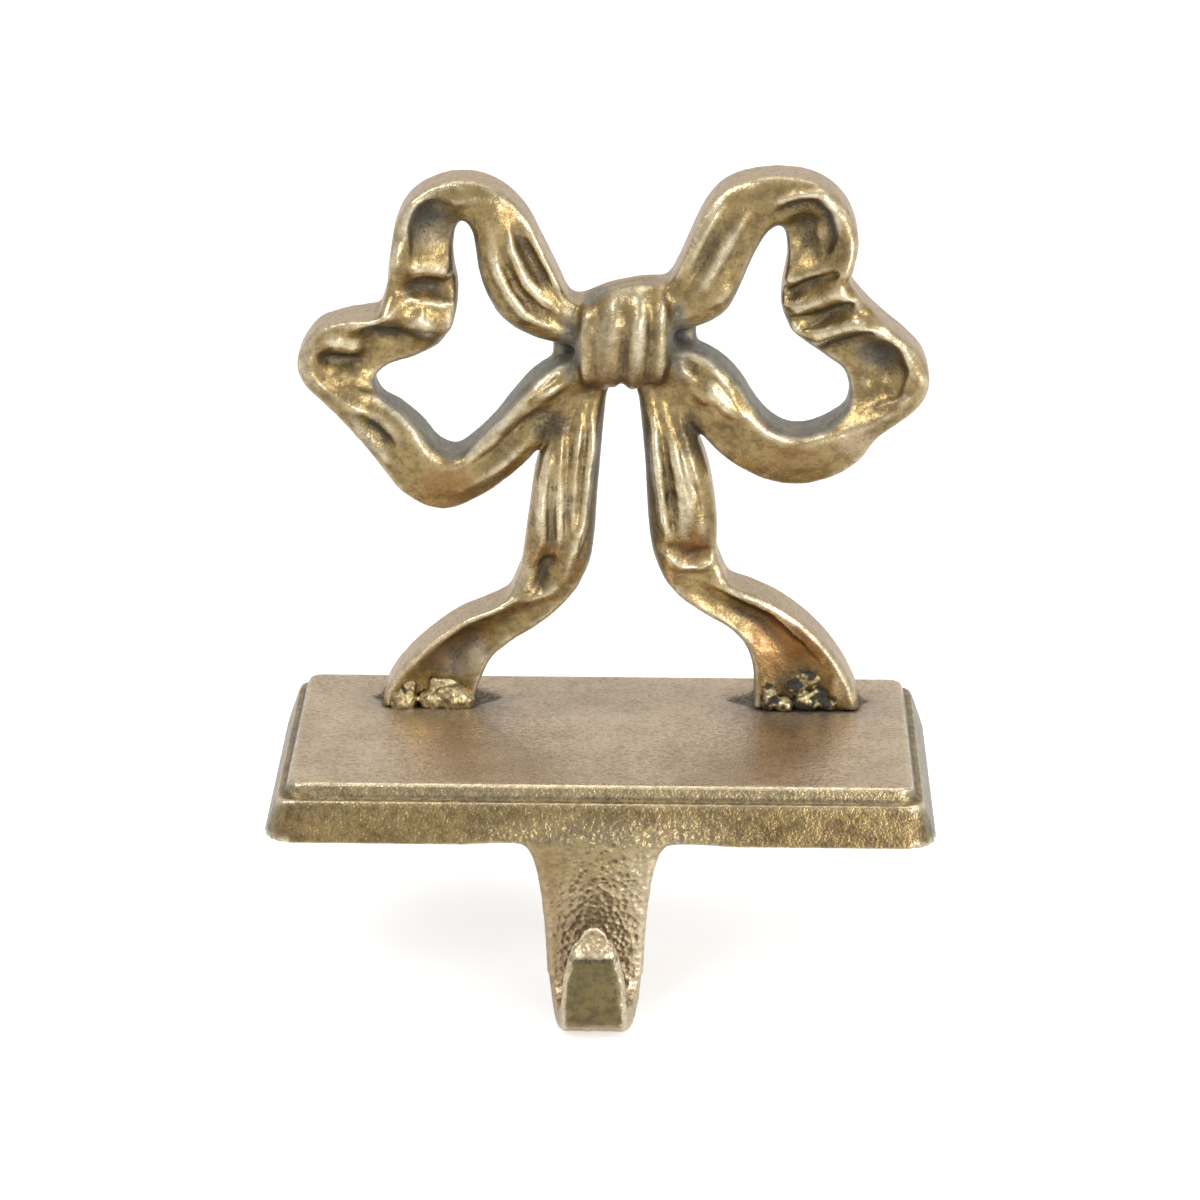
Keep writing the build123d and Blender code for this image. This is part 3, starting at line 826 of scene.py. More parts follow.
@dataclass
class Base:
    """The plate with its strap and hook: a brushed top, pitted fronts and a hammered strap.

    A span gives, in millimetres, where a smooth step starts at 0 and where it reaches 1.

    Attributes:
        feet: Middle (x, y) of each foot, and how far the grey mark round it reaches.
        between_feet: Half width, middle and half depth of the grey mark between the feet.
    """

    node: bpy.types.Object
    feet: tuple[tuple[float, float, float], ...] = ((-0.032, 0.012, 0.024), (0.039, 0.012, 0.026))
    between_feet: tuple[float, float, float] = (0.036, 0.016, 0.012)
    voxel: float = 0.5 * MM
    softness: int = 3
    melting: int = 14
    seat_level: float = 4.0 * MM
    facet_top: float = -18.0 * MM
    facet_edge_mm: float = 0.3
    facet_depth: Span = (2.4, 1.2)
    line_drop_mm: float = 0.2
    line_width: Span = (0.8, 0.3)
    line_front: Span = (-38.5, -39.5)
    nose_place: tuple[float, float, float] = (-0.0008, -0.0381, -0.0158)
    nose_mm: tuple[float, float, float] = (2.8, 1.6, 3.6)
    tip_rise_mm: float = 2.6
    tip_front: Span = (-36.5, -37.5)
    lean_mm: float = 1.3
    lean_front: Span = (-38.6, -39.6)
    root_height: Span = (4.5, 1.0)
    root_width: Span = (26.0, 17.0)
    root_front: Span = (-24.0, -29.0)
    underside: Span = (-0.6, -0.2)
    dent_mm: float = 0.11
    dent_size_mm: float = 1.6
    pit_mm: float = 0.06
    pit_size_mm: float = 1.2
    hammered_height: Span = (7.0, 1.0)
    hammered_width: Span = (30.0, 12.0)
    hammered_side: Span = (-10.0, 5.0)
    hook_height: Span = (-5.0, -14.0)
    strap_right: Span = (1.0, 11.0)
    strap_right_height: Span = (2.0, -4.0)
    strap_left: Span = (-5.0, -11.0)
    strap_left_height: Span = (0.0, -4.0)
    slab_height: Span = (-2.0, 0.0)
    front_height: Span = (-1.0, 1.0)
    panel_depth: Span = (1.4, 0.3)
    riser_depth: Span = (4.0, 3.0)
    seat_rim: Span = (0.25, 0.6)
    seat_floor: Span = (1.6, 1.2)
    grain: Grain = Grain(23)
    skin: Skin = field(init=False)

    def along(self, axis: Axis, span: Span) -> np.ndarray:
        """Smooth step of the points' places on an axis, over a span."""
        return ramp(self.skin.points[:, axis], span[0] * MM, span[1] * MM)

    def across(self, axis: Axis, span: Span) -> np.ndarray:
        """Smooth step of the points' distances from the origin on an axis, over a span."""
        return ramp(np.abs(self.skin.points[:, axis]), span[0] * MM, span[1] * MM)

    def under_top(self, span: Span) -> np.ndarray:
        """Smooth step of the points' depths under the plate's top, over a span."""
        top = self.skin.points[:, Axis.Z].max()
        return ramp(self.skin.points[:, Axis.Z], top - span[0] * MM, top - span[1] * MM)

    def build(self) -> None:
        """Re-skin the casting, round its edges and its tip, hammer its strap and pit its front."""
        nose = lumpy_ball(np.array(self.nose_place), np.array(self.nose_mm) * MM, self.grain, 0.0)
        self.skin = Skin.of_node(self.node, self.voxel, nose)
        self.skin.relax(self.softness)
        self.round_off()
        self.roughen()

    def round_off(self) -> None:
        """Lean the tip back above its ground face, and melt it, the seats and the strap's root."""
        z = self.skin.points[:, Axis.Z]
        over_facet = ramp(z, self.facet_top, self.facet_top + self.tip_rise_mm * MM)
        tip = over_facet * self.along(Axis.Y, self.tip_front)
        lean = self.lean_mm * MM * tip * self.along(Axis.Y, self.lean_front) * (z < 0.0)
        self.skin.points[:, Axis.Y] += lean
        root = self.across(Axis.Z, self.root_height) * self.across(Axis.X, self.root_width)
        root = root * self.along(Axis.Y, self.root_front)
        seats = self.burnt() * (z > self.seat_level)
        self.skin.soften(self.melting, np.maximum(seats, 0.3 * tip * (z < 0.0)))
        self.skin.soften(2 * self.melting, root)

    def roughen(self) -> None:
        """Press hammered dents and cast pits into all but the flat top and the underside."""
        normals = self.skin.normals()
        points = self.skin.points
        flat_top = ramp(normals[:, Axis.Z], 0.7, 0.95)
        underside = ramp(-normals[:, Axis.Z], 0.7, 0.95) * self.along(Axis.Z, self.underside)
        cast = (1.0 - flat_top) * (1.0 - underside)
        hammered = self.hammered(normals)
        distance, number = self.grain.cells(points, self.dent_size_mm * MM)
        dents = -self.dent_mm * (0.4 + number) * ramp(distance, 0.75, 0.0)
        pits = self.pit_mm * self.grain.layered(points, self.pit_size_mm * MM, 2)
        self.skin.push(cast * (hammered * dents + (0.5 + 0.5 * hammered) * pits) * MM, normals)

    def hammered(self, normals: np.ndarray) -> np.ndarray:
        """Where the casting is hammered: the strap and the lower half of the slab's front, but not the tip.

        Args:
            normals: The skin's normals.

        Returns:
            From 0 to 1.
        """
        on_slab = self.skin.points[:, Axis.Z] > 0.0
        over_strap = np.where(on_slab, self.across(Axis.X, self.hammered_width), 1.0)
        worked = over_strap * (0.65 + 0.35 * self.along(Axis.X, self.hammered_side))
        return self.along(Axis.Z, self.hammered_height) * worked * (1.0 - self.ground(normals))

    def ground(self, normals: np.ndarray) -> np.ndarray:
        """Where the hook's tip is ground flat: its front, facing forwards.

        Args:
            normals: The skin's normals.

        Returns:
            From 0 to 1.
        """
        front = self.skin.points[:, Axis.Y].min()
        far, near = (front + depth * MM for depth in self.facet_depth)
        near_front = ramp(self.skin.points[:, Axis.Y], far, near)
        edge = self.facet_edge_mm * MM
        below = ramp(self.skin.points[:, Axis.Z], self.facet_top + edge, self.facet_top - edge)
        return near_front * below * ramp(-normals[:, Axis.Y], 0.75, 0.93)

    def burnt(self) -> np.ndarray:
        """How stained the plate is round the feet: a smooth step down from the middle of each foot.

        Returns:
            From 0 to 1.
        """
        x, y = self.skin.points[:, Axis.X], self.skin.points[:, Axis.Y]
        ovals = [np.hypot((x - fx) / reach, (y - fy) / (0.5 * reach)) for fx, fy, reach in self.feet]
        return np.max([ramp(far, 1.0, 0.35) for far in ovals], axis=0)

    def dress(self, finish: bpy.types.Material) -> bpy.types.Object:
        """Read the finish's traits off the shape.

        Args:
            finish: The casting's finish.

        Returns:
            The finished piece.
        """
        normals = self.skin.normals()
        x, y, z = self.skin.points.T
        fine, broad = self.skin.bulge(8), self.skin.bulge(50)
        hammered, ground = self.hammered(normals), self.ground(normals)
        panel = ramp(normals[:, Axis.Z], 0.8, 0.97) * self.under_top(self.panel_depth)
        seats = self.under_top(self.seat_rim) * self.under_top(self.seat_floor)
        seats = seats * ramp(normals[:, Axis.Z], 0.5, 0.9)
        ends = ramp(np.abs(normals[:, Axis.X]), 0.5, 0.8) * self.along(Axis.Z, self.slab_height)
        riser = ramp(-normals[:, Axis.Y], 0.4, 0.7) * self.under_top(self.riser_depth)
        # The strap's right side gets painted highlight and its left side painted shade, as light falls from
        # the right; the lower hook gets painted light.
        hook = self.along(Axis.Z, self.hook_height)
        right = hammered * self.along(Axis.X, self.strap_right) * self.along(Axis.Z, self.strap_right_height)
        left = self.along(Axis.X, self.strap_left) * self.along(Axis.Z, self.strap_left_height)
        rubbed = ramp(fine + 0.25 * broad, 0.08, 0.3) * (1.0 - 0.6 * panel) * (1.0 - 0.7 * left)
        width, middle, depth = self.between_feet
        between = ramp(np.hypot(x / width, (y - middle) / depth), 1.0, 0.3)
        from_edge = np.abs(z - self.facet_top + self.line_drop_mm * MM) / MM
        facet_line = ramp(from_edge, *self.line_width) * self.along(Axis.Y, self.line_front)
        sunk = ramp(-fine - 0.5 * broad, 0.06, 0.36)
        traits = {
            Trait.HOLLOW: sunk * (1.0 - 0.85 * hammered) * (1.0 - 0.8 * hook),
            # Rubbed edges, with painted highlight on the riser and on the strap's right side.
            Trait.RUBBED_AND_HIGHLIGHT: np.maximum(rubbed, 0.2 * riser + 0.5 * right),
            # The plate top's tan, and painted light on the lower hook that lightens the shade behind the tip.
            Trait.TAN: np.maximum(panel, 0.34 * hook * (1.0 - ground) * (1.0 - 0.8 * left)),
            Trait.BRUSHED: panel,
            # Painted shade: the strap's left side made browner.
            Trait.COPPER_AND_SHADE: 0.6 * left,
            Trait.GREY_AND_SHADE: np.maximum(0.6 * ends, panel * np.maximum(0.75 * self.burnt(), 0.45 * between)),
            # Painted shade in the seats round the feet and in a dark line under the top edge of the tip's
            # ground face.
            Trait.STAIN_AND_SHADE: np.maximum(0.85 * seats, 0.8 * facet_line),
            Trait.OLIVE: ground,
            Trait.HAMMERED: hammered,
            Trait.PITTED: ramp(-normals[:, Axis.Y], 0.5, 0.8) * self.along(Axis.Z, self.front_height),
        }
        for trait, values in traits.items():
            self.skin.note(trait, values)
        return self.skin.piece("base_casting", finish)


@dataclass(frozen=True)
class Drop:
    """A drop of filler in front of a foot.

    Attributes:
        share: Place along the braze, from its low x to its high x.
        depth: Place through the braze, from its front to its back.
        level: Height of its middle over the plate, in millimetres.
        size: Half widths along x, y and z, in millimetres.
    """

    share: float
    depth: float
    level: float
    size: tuple[float, float, float]

    def shell(self, low: np.ndarray, high: np.ndarray, grain: Grain) -> tuple[np.ndarray, np.ndarray]:
        """The drop as a lumpy ball.

        Args:
            low: Low corner of the braze.
            high: High corner of the braze.
            grain: Noise that makes it lumpy.

        Returns:
            The ball's points and triangles.
        """
        shares = np.array([self.share, self.depth, 0.0])
        middle = low + (high - low) * shares + np.array([0, 0, self.level * MM])
        return lumpy_ball(middle, np.array(self.size) * MM, grain, 0.22)


@dataclass
class Braze:
    """The filler that holds one foot: drops run together, burnt dark between."""

    node: bpy.types.Object
    name: str
    burnt: float
    drops: tuple[Drop, ...]
    voxel: float = 0.24 * MM
    softness: int = 6
    grit_mm: float = 0.15
    grit_size_mm: float = 0.9
    burn_size_mm: float = 1.4
    grain: Grain = Grain(37)
    skin: Skin = field(init=False)

    def build(self) -> None:
        """Run the drops together and roughen them."""
        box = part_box(self.node.name)
        low, high = np.array(box[0]), np.array(box[1])
        points, triangles = together([drop.shell(low, high, self.grain) for drop in self.drops])
        self.skin = Skin.cast(self.name, points, triangles, self.voxel)
        self.skin.soften(self.softness)
        normals = self.skin.normals()
        grit = self.grain.layered(self.skin.points, self.grit_size_mm * MM)
        self.skin.push(self.grit_mm * MM * grit, normals)

    def dress(self, finish: bpy.types.Material) -> bpy.types.Object:
        """Read the finish's traits off the shape.

        Args:
            finish: The filler's finish.

        Returns:
            The finished piece.
        """
        fine = self.skin.bulge(10)
        grains = self.grain.layered(self.skin.points, self.burn_size_mm * MM)
        self.skin.note(Trait.HOLLOW, ramp(-fine, 0.0, 0.2))
        # Burnt grains; a high burnt share also stands for painted shade.
        self.skin.note(Trait.STAIN_AND_SHADE, ramp(grains, 0.9 - 1.5 * self.burnt, 1.4 - 1.5 * self.burnt))
        return self.skin.piece(self.name, finish)


@dataclass(frozen=True)
class Softbox:
    """A square area light: where it stands, its width, and how bright its face is beside white."""

    name: str
    place: tuple[float, float, float]
    width: float
    level: float

    def light(self, aim: tuple[float, float, float]) -> None:
        """Hang the light, turned to a place; its power is pi times its area times its level."""
        data = bpy.data.lights.new(self.name, "AREA")
        data.size = self.width
        data.energy = pi * self.width**2 * self.level
        lamp = bpy.data.objects.new(self.name, data)
        lamp.location = self.place
        way = np.array(aim) - np.array(self.place)
        tilt = np.arctan2(np.hypot(way[0], way[1]), -way[2])
        lamp.rotation_euler = (tilt, 0.0, np.arctan2(-way[0], way[1]))
        bpy.context.scene.collection.objects.link(lamp)


@dataclass
class Studio:
    """A pale floor under the hook, soft light before a pale backdrop, and the photograph's camera."""

    floor_level: float
    aim: tuple[float, float, float] = (0.0, 0.0, 0.05)
    floor_half: float = 12.0
    floor_tone: float = 0.6
    floor_glow: float = 0.6
    sky_front: float = 0.4
    sky_back: float = 0.95
    softboxes: tuple[Softbox, ...] = (
        Softbox("key_light", (-0.50, -0.65, 0.85), 0.45, 7.0),
        Softbox("fill_light", (0.75, -0.55, 0.55), 0.40, 5.0),
        Softbox("low_light", (0.42, -0.85, 0.14), 0.30, 11.0),
        Softbox("top_light", (0.1, 0.15, 1.1), 0.7, 1.5),
    )
    camera_place: tuple[float, float, float] = (0.014569, -0.675156, 0.338340)
    camera_tilt: float = 66.0
    camera_turn: float = 1.278
    lens: float = 116.26

    def build(self) -> None:
        """Lay the floor, light it and set the camera."""
        bpy.context.scene.view_settings.view_transform = "Standard"
        self.lay_floor()
        self.hang_sky()
        for softbox in self.softboxes:
            softbox.light(self.aim)
        data = bpy.data.cameras.new("camera")
        data.lens = self.lens
        camera = bpy.data.objects.new("camera", data)
        camera.location = self.camera_place
        camera.rotation_euler = (radians(self.camera_tilt), 0.0, radians(self.camera_turn))
        bpy.context.scene.collection.objects.link(camera)
        bpy.context.scene.camera = camera

    def hang_sky(self) -> None:
        """Surround the object with soft light, brightest behind it; what is seen of it is plain white."""
        s = Shader(bpy.data.worlds.new("studio"))
        way = s.node("ShaderNodeTexCoord", {}, {}).value("Generated")
        parts = s.node("ShaderNodeSeparateXYZ", {}, {"Vector": way})
        back = (parts.value("Y") + 0.5 * parts.value("X")).step(-0.8, 0.5)
        light = s.mix(back, (*[self.sky_front] * 3, 1.0), (*[self.sky_back] * 3, 1.0))
        light = s.mix(s.seen(), light, (1.0, 1.0, 1.0, 1.0))
        glow = s.node("ShaderNodeBackground", {}, {"Color": light}).value("Background")
        bpy.context.scene.world = s.finish(glow, "ShaderNodeOutputWorld")

    def lay_floor(self) -> None:
        """A wide floor that looks white to the camera and in reflections, and still takes the shadow."""
        s = Shader(bpy.data.materials.new("pale_floor"))
        white = (self.floor_tone, self.floor_tone, self.floor_tone, 1.0)
        paint = s.node("ShaderNodeBsdfDiffuse", {}, {"Color": white}).value("BSDF")
        glow = s.node("ShaderNodeEmission", {}, {"Strength": self.floor_glow}).value("Emission")
        lit = s.node("ShaderNodeAddShader", {}, {0: paint, 1: glow}).value(0)
        both = s.node("ShaderNodeMixShader", {}, {0: s.seen(), 1: paint, 2: lit}).value(0)
        half = self.floor_half
        corners = [(-half, -half), (half, -half), (half, half), (-half, half)]
        mesh = bpy.data.meshes.new("floor")
        mesh.from_pydata([(x, y, self.floor_level) for x, y in corners], [], [(0, 1, 2, 3)])
        mesh.materials.append(s.finish(both))
        floor = bpy.data.objects.new("floor", mesh)
        bpy.context.scene.collection.objects.link(floor)


def seat(piece: bpy.types.Object, node: Node) -> None:
    """Hold a piece to the frame in place of one of its nodes."""
    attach(piece, "root")
    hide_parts(node.value)
    log.info("%s: %d points, %d faces", piece.name, len(piece.data.vertices), len(piece.data.polygons))


BOW_DENTS = (Oval((-34.0, 86.0), (9.0, 9.0)), Oval((41.5, 84.0), (12.0, 11.0)))
BOW_FOLDS = (
    # Left loop: its upper arm
    Fold(((-22.5, 102.9), (-20.1, 96.1), (-19.1, 89.8), (-14.8, 81.3), (-7.3, 77.8)), 0.8, 1.8),
    Fold(((-20.4, 99.4), (-19.0, 91.6), (-16.5, 86.1), (-12.9, 81.4), (-8.0, 78.2)), -0.9, 1.0),
    Fold(((-17.6, 101.2), (-17.1, 94.3), (-14.6, 87.9), (-11.1, 83.2), (-6.8, 80.4)), 0.8, 1.0),
    Fold(((-17.6, 100.4), (-15.0, 95.0), (-12.2, 89.7), (-8.6, 83.6)), -1.1, 1.5),
    Fold(((-15.8, 99.0), (-12.3, 93.0), (-9.4, 86.9), (-6.4, 81.4)), 0.5, 0.8),
    # Left loop: the face inside its top, and the folds of its dent
    Fold(
        ((-22.8, 103.6), (-27.6, 106.5), (-32.0, 105.9), (-35.4, 103.0),
         (-36.8, 98.3), (-36.6, 91.8), (-37.8, 85.3)),
        0.5, 0.9,
    ),
    Fold(((-25.2, 103.4), (-28.6, 104.2), (-32.3, 102.8), (-34.0, 98.7), (-34.1, 94.4)), -1.1, 2.4),
    Fold(((-36.4, 92.8), (-32.5, 92.0), (-28.4, 91.7)), -0.3, 1.3),
    Fold(((-37.6, 90.0), (-33.2, 89.4), (-28.0, 87.8)), 0.9, 1.7, 0.25),
    Fold(((-39.6, 86.2), (-33.3, 85.6), (-27.6, 84.6)), -0.75, 1.8, 0.4),
    Fold(((-39.0, 84.4), (-34.5, 83.2), (-28.2, 81.8)), 0.7, 0.9, 0.25),
    Fold(((-37.5, 81.1), (-33.6, 78.6), (-31.5, 80.6)), 1.1, 2.6),
    # Left loop: its lobe and the run below it
    Fold(((-53.5, 76.8), (-48.8, 74.4), (-44.4, 72.7)), 1.4, 1.9),
    Fold(((-46.4, 78.7), (-41.3, 76.4), (-35.5, 75.8)), -1.5, 1.9),
    Fold(((-55.3, 72.6), (-49.8, 70.8), (-44.1, 70.3)), -1.5, 1.5),
    Fold(((-54.4, 70.2), (-48.3, 65.4), (-40.8, 62.2), (-36.3, 57.4), (-32.8, 50.6)), 0.7, 0.9),
    Fold(((-51.8, 69.6), (-47.7, 67.2), (-43.9, 66.0)), 0.5, 1.6),
    Fold(((-47.2, 61.9), (-43.4, 57.2), (-38.6, 51.6)), -1.7, 1.6),
    Fold(((-49.4, 62.3), (-46.0, 56.9), (-41.0, 51.2), (-37.0, 47.7)), 0.5, 0.9),
    # Left loop: its lower run
    Fold(((-30.3, 52.2), (-23.6, 56.1), (-19.2, 59.4), (-14.0, 65.1), (-7.3, 71.4)), 0.8, 0.8, 0.2),
    Fold(((-29.4, 47.8), (-19.8, 54.1), (-15.4, 59.2), (-10.2, 63.9)), -0.9, 1.4),
    Fold(((-30.1, 43.6), (-21.7, 48.8), (-16.4, 53.3), (-11.2, 57.8)), 0.7, 1.4),
    Fold(((-15.3, 63.9), (-10.6, 65.9), (-6.8, 67.4)), 0.8, 1.2),
    Fold(((-17.5, 57.1), (-13.1, 60.2), (-9.1, 62.7)), -0.9, 1.3),
    # Right loop: its upper arm
    Fold(((14.0, 86.3), (17.1, 93.6), (20.9, 101.7), (24.5, 106.0)), 0.6, 0.8),
    Fold(((14.3, 84.6), (18.4, 90.8), (20.8, 96.0), (24.9, 103.5)), -0.6, 1.2),
    Fold(((15.0, 83.0), (18.8, 87.4), (22.8, 95.1), (25.9, 100.4), (29.9, 103.1)), 0.5, 1.6),
    Fold(((18.6, 83.6), (22.9, 91.0), (27.6, 100.4)), -0.5, 1.0),
    Fold(((18.9, 82.2), (22.1, 84.6), (25.0, 88.6)), 0.5, 1.2),
    # Right loop: its rim turned over at the top, and the face inside
    Fold(
        ((29.9, 102.7), (33.1, 104.3), (37.1, 105.3), (40.2, 105.1),
         (42.5, 102.2), (43.6, 97.6), (42.7, 93.3), (41.3, 90.7)),
        0.7, 0.9,
    ),
    Fold(
        ((30.4, 100.4), (35.3, 102.6), (38.9, 103.2), (41.2, 101.0), (42.0, 96.5), (40.8, 92.0)),
        -0.9, 1.3, 0.25,
    ),
    Fold(((36.6, 102.5), (38.2, 96.6), (37.6, 90.1)), -1.5, 3.4),
    Fold(((39.4, 98.9), (40.2, 94.2)), 0.7, 1.4),
    # Right loop: the folds of its dent
    Fold(((33.0, 83.4), (37.6, 86.3), (44.0, 90.4)), -1.2, 1.0, 0.2),
    Fold(((34.0, 79.9), (38.8, 83.0), (46.0, 87.6)), 0.9, 1.5, 0.2),
    Fold(((35.6, 76.6), (41.0, 80.2), (48.0, 84.6)), -1.3, 1.2, 0.2),
    Fold(((38.2, 74.6), (43.0, 77.6), (49.6, 81.6)), 0.8, 1.4, 0.2),
    Fold(((41.4, 72.6), (45.8, 75.4), (51.2, 78.9)), -1.0, 1.2, 0.25),
    # Right loop: its lobe
    Fold(
        ((48.6, 78.5), (52.7, 78.2), (56.3, 74.8), (58.0, 70.0),
         (56.7, 65.0), (51.3, 62.5), (45.9, 60.0)),
        0.6, 0.9,
    ),
    Fold(((48.6, 76.1), (52.9, 72.4), (53.2, 66.2)), -1.6, 3.0),
    Fold(((48.0, 66.5), (50.6, 67.7)), 0.5, 1.2),
    # Right loop: its lower run
    Fold(
        ((15.0, 74.4), (19.0, 72.5), (22.8, 67.7), (26.5, 61.8),
         (30.8, 57.8), (35.3, 56.4), (41.4, 57.1)),
        0.6, 0.8,
    ),
    Fold(((14.6, 73.0), (20.6, 65.6)), -1.1, 0.9),
    Fold(((16.2, 71.0), (21.0, 65.6), (24.8, 61.8), (27.7, 58.8)), 0.8, 1.6),
    Fold(((15.9, 67.4), (18.2, 65.0), (21.0, 63.0)), 0.5, 1.0),
    Fold(((26.8, 56.6), (33.5, 52.9), (40.2, 53.4)), -0.5, 2.2),
    # Left tail
    Fold(((-9.4, 58.5), (-12.0, 47.4), (-11.9, 38.3), (-10.8, 31.3)), 0.8, 1.0, 0.3),
    Fold(((-9.2, 52.6), (-10.4, 43.0), (-9.8, 31.3)), -0.5, 0.9, 0.3),
    Fold(((-7.6, 58.2), (-8.5, 48.6), (-8.6, 32.7)), 0.7, 0.8, 0.25),
    Fold(((-6.0, 58.2), (-7.0, 48.6), (-7.3, 34.7)), -0.6, 0.7, 0.25),
    Fold(((-4.1, 61.3), (-5.4, 48.6), (-6.2, 32.7)), 0.8, 0.7, 0.25),
    Fold(((-3.1, 60.3), (-4.2, 48.6), (-5.0, 35.7)), -0.8, 0.6, 0.25),
    Fold(((-1.1, 62.0), (-3.0, 49.1), (-4.3, 37.8), (-8.1, 25.5)), 0.8, 0.8, 0.25),
    Fold(((-9.2, 32.6), (-11.6, 29.0), (-12.6, 25.4), (-11.4, 23.0)), -1.1, 1.1, 0.3),
    Fold(((-8.6, 27.6), (-10.0, 24.0), (-13.7, 22.4), (-18.1, 21.8)), 0.7, 0.8),
    # Right tail
    Fold(((9.2, 62.9), (10.0, 50.2), (11.5, 39.9), (13.9, 31.6)), 0.7, 0.8, 0.25),
    Fold(((11.0, 60.0), (12.4, 48.8), (14.0, 36.8)), -0.5, 0.8, 0.25),
    Fold(((12.0, 59.4), (15.1, 47.8), (17.4, 36.3)), 1.0, 1.4, 0.3),
    Fold(((15.2, 52.0), (17.8, 44.8), (19.2, 37.8)), -0.6, 0.8),
    Fold(((11.0, 35.0), (16.4, 31.8), (21.6, 33.4)), -0.55, 1.2, 0.25),
    Fold(((11.0, 33.4), (15.0, 29.7), (18.9, 29.4), (22.2, 31.9)), 0.6, 0.7, 0.25),
    # Feet
    Fold(((-18.2, 21.1), (-26.3, 18.3), (-34.0, 12.6), (-40.0, 5.4)), 0.5, 0.8),
    Fold(((-20.1, 16.8), (-27.8, 11.2), (-32.6, 5.5)), -0.8, 2.6),
    Fold(((13.4, 29.1), (24.0, 25.0), (33.0, 20.4), (39.3, 14.1), (45.7, 5.8)), 0.5, 0.8),
    Fold(((21.0, 22.8), (30.5, 17.4), (36.3, 10.2)), -0.9, 2.6),
    # Knot: its crown, then its pleats
    Fold(((3.8, 94.0), (3.6, 76.0), (3.4, 58.0)), 1.3, 5.6, 0.3),
    Fold(((-3.1, 86.0), (-3.9, 76.3), (-3.0, 64.0)), 0.4, 1.0, 0.25),
    Fold(((-0.5, 85.0), (-1.9, 76.4), (-2.4, 66.0)), -0.5, 0.7, 0.3),
    Fold(((2.7, 86.0), (0.7, 76.4), (-0.9, 65.0)), 0.5, 1.2, 0.25),
    Fold(((1.9, 84.0), (0.3, 77.4), (-0.9, 71.0)), -0.3, 0.5, 0.3),
    Fold(((4.4, 82.0), (3.6, 73.4), (2.7, 58.0)), -1.1, 0.9, 0.35),
    Fold(((7.2, 86.0), (6.5, 76.4), (5.2, 64.0)), 0.7, 1.3, 0.25),
    Fold(((8.8, 85.0), (8.9, 76.5), (7.8, 64.0)), -0.7, 0.8, 0.3),
    Fold(((10.9, 87.0), (10.9, 76.5), (10.2, 65.0)), 0.5, 1.0, 0.25),
)
BOW_PATCHES = tuple(
    Patch(trait, Oval((x, z), (across, up)), strength)
    for trait, rows in {
        # Grey: oxide with painted shade on the faces inside the loops, in the gaps beside the knot and in the
        # hollow front of the left foot
        Trait.GREY_AND_SHADE: (
            (-33.3, 99.0, 5.5, 8.0, 0.55), (51.6, 73.6, 5.5, 5.0, 0.65), (-6.6, 75.5, 2.6, 9.5, 0.8),
            (14.2, 76.6, 2.6, 10.0, 0.8), (-29.0, 9.5, 8.5, 6.0, 0.4),
        ),
        # Dark: painted shade in the crevices, in the gaps beside the knot, where the tails pass under it and
        # over its lower half, and on the feet burn marks with painted shade in their hollow fronts
        Trait.STAIN_AND_SHADE: (
            (-32.0, 100.0, 5.5, 7.0, 0.5), (-33.3, 85.8, 6.0, 2.0, 0.35), (-40.3, 76.5, 5.5, 2.8, 0.55),
            (-43.3, 56.9, 3.6, 4.5, 0.6), (37.2, 102.6, 5.5, 2.2, 0.75), (51.0, 73.0, 4.5, 4.5, 0.42),
            (3.7, 76.0, 11.0, 12.0, 0.18), (3.5, 68.0, 10.0, 7.0, 0.3), (-6.2, 74.4, 1.9, 8.0, 0.7),
            (13.7, 76.6, 1.8, 9.0, 0.7), (-10.2, 58.8, 5.0, 4.6, 0.9), (16.4, 57.5, 3.0, 6.0, 0.8),
            (-11.8, 27.0, 1.8, 3.2, 0.55), (-28.5, 10.5, 6.0, 5.0, 0.22), (38.6, 4.4, 6.5, 6.4, 0.95),
        ),
        # Bright: painted highlights on the brightest ridges, partly rubbed wear; the knot's lower half gets
        # less, as painted shade
        Trait.RUBBED_AND_HIGHLIGHT: (
            (3.5, 67.5, 11.0, 7.0, -0.6), (-24.6, 10.0, 2.4, 6.0, 0.4), (15.6, 45.0, 2.4, 11.0, 0.7),
            (-9.0, 42.0, 3.6, 9.0, 0.4), (-49.0, 74.6, 4.0, 2.4, 0.7), (22.0, 64.6, 3.0, 4.5, 0.6),
            (6.6, 78.5, 1.7, 6.0, 0.45), (-0.4, 79.0, 2.2, 5.0, 0.3), (46.0, 4.5, 1.8, 4.0, 0.9),
        ),
        # Copper: where the finish is rubbed through; on the knot's lower half it is painted shade
        Trait.COPPER_AND_SHADE: (
            (3.5, 68.5, 10.0, 6.5, 0.5), (-31.0, 12.5, 9.0, 6.0, 0.6), (-29.8, 47.2, 7.0, 4.5, 0.8),
            (35.4, 52.5, 9.0, 4.5, 0.5), (17.0, 33.3, 4.0, 4.0, 1.0), (35.0, 14.5, 10.0, 10.0, 0.9),
        ),
        # Tan: the turn of the right loop
        Trait.TAN: (
            (47.7, 56.3, 4.5, 4.5, 0.45),
        ),
    }.items()
    for x, z, across, up, strength in rows
)
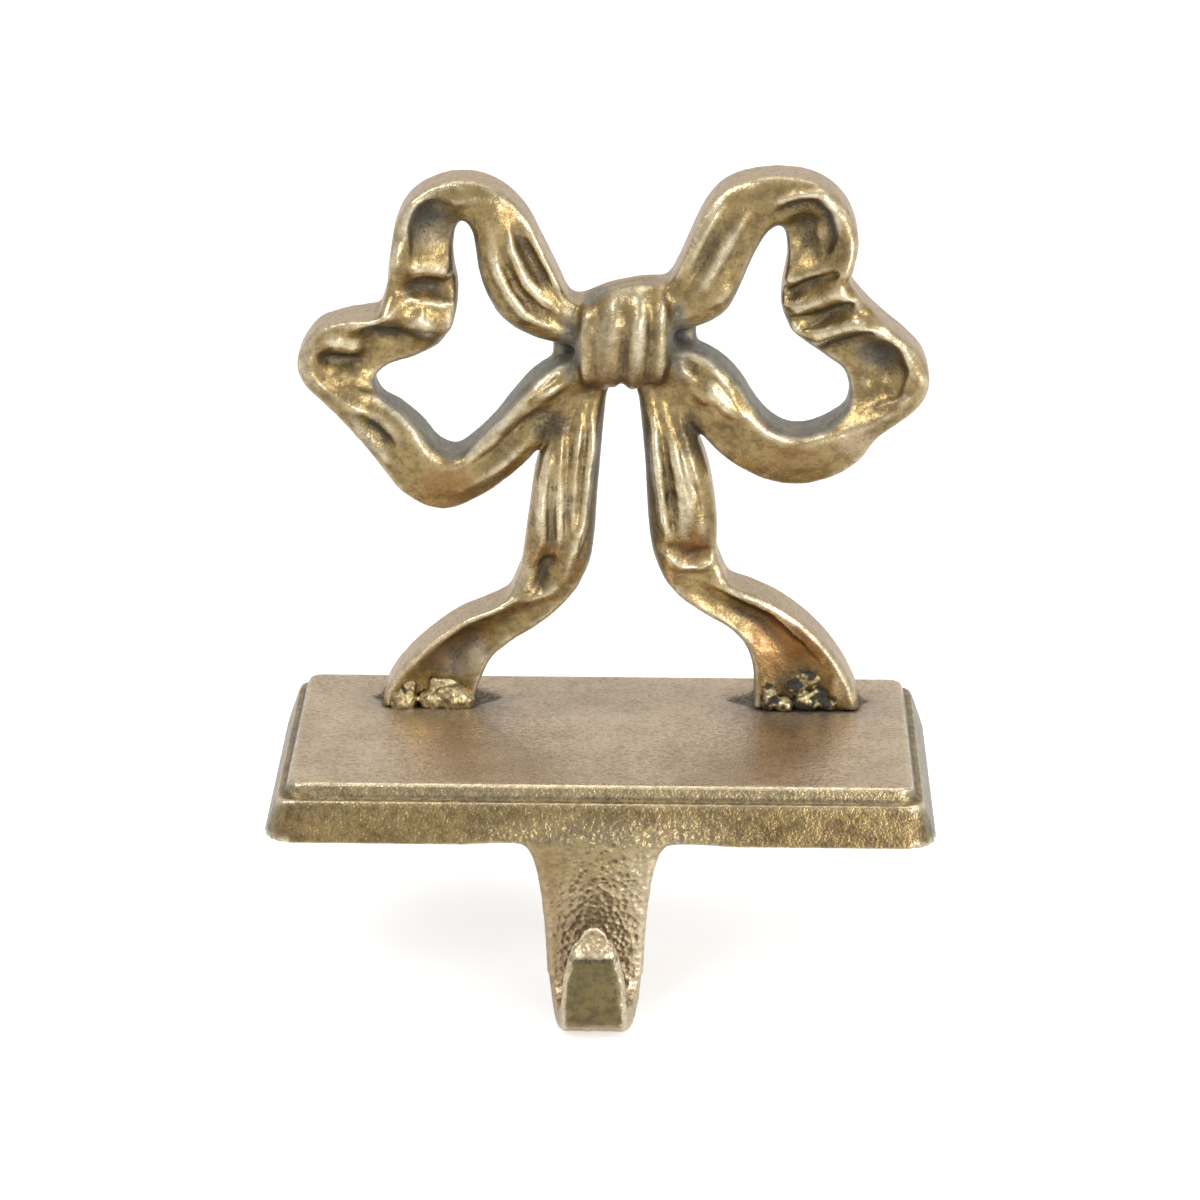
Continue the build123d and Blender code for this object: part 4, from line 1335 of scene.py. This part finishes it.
LEFT_DROPS = (
    Drop(0.04, 0.6, 1.4, (2.9, 2.2, 2.6)),
    Drop(0.10, 0.9, 3.4, (2.0, 1.6, 2.0)),
    Drop(0.52, 0.55, 1.4, (2.6, 2.0, 2.2)),
    Drop(0.80, 0.55, 1.8, (3.4, 2.2, 2.8)),
    Drop(0.70, 0.9, 3.6, (3.0, 1.6, 2.2)),
    Drop(0.98, 0.6, 1.0, (2.2, 1.8, 1.8)),
)
RIGHT_DROPS = (
    Drop(0.04, 0.6, 2.0, (1.8, 1.6, 2.8)),
    Drop(0.24, 0.5, 1.0, (2.0, 1.6, 1.6)),
    Drop(0.46, 0.9, 4.2, (2.0, 1.4, 1.8)),
    Drop(0.66, 1.0, 6.0, (2.4, 1.2, 1.7)),
    Drop(0.62, 0.7, 1.2, (2.4, 1.6, 1.8)),
    Drop(0.82, 0.8, 2.8, (1.6, 1.3, 1.6)),
    Drop(0.96, 0.6, 0.8, (1.8, 1.4, 1.2)),
)


def main() -> None:
    """Build and dress the castings and the brazing, and set the studio."""
    logging.basicConfig(level=logging.INFO)
    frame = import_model()
    nodes = frame["nodes"]
    brass, filler = AgedBrass().material(), Filler().material()
    plate_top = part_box(Node.BASE.value)[1].z

    bow = Bow(nodes[Node.BOW.value], plate_top, flattened=BOW_DENTS, folds=BOW_FOLDS, patches=BOW_PATCHES)
    bow.build()
    seat(bow.dress(brass), Node.BOW)

    base = Base(nodes[Node.BASE.value])
    base.build()
    seat(base.dress(brass), Node.BASE)

    left = Braze(nodes[Node.LEFT_BRAZE.value], "left_filler", 0.25, LEFT_DROPS)
    # The right filler is darker: burnt grains, and painted shade of the recess under the right foot's front.
    right = Braze(nodes[Node.RIGHT_BRAZE.value], "right_filler", 0.8, RIGHT_DROPS)
    for braze, node in ((left, Node.LEFT_BRAZE), (right, Node.RIGHT_BRAZE)):
        braze.build()
        seat(braze.dress(filler), node)

    Studio(floor_level=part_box(Node.BASE.value)[0].z).build()


if __name__ == "__main__":
    main()
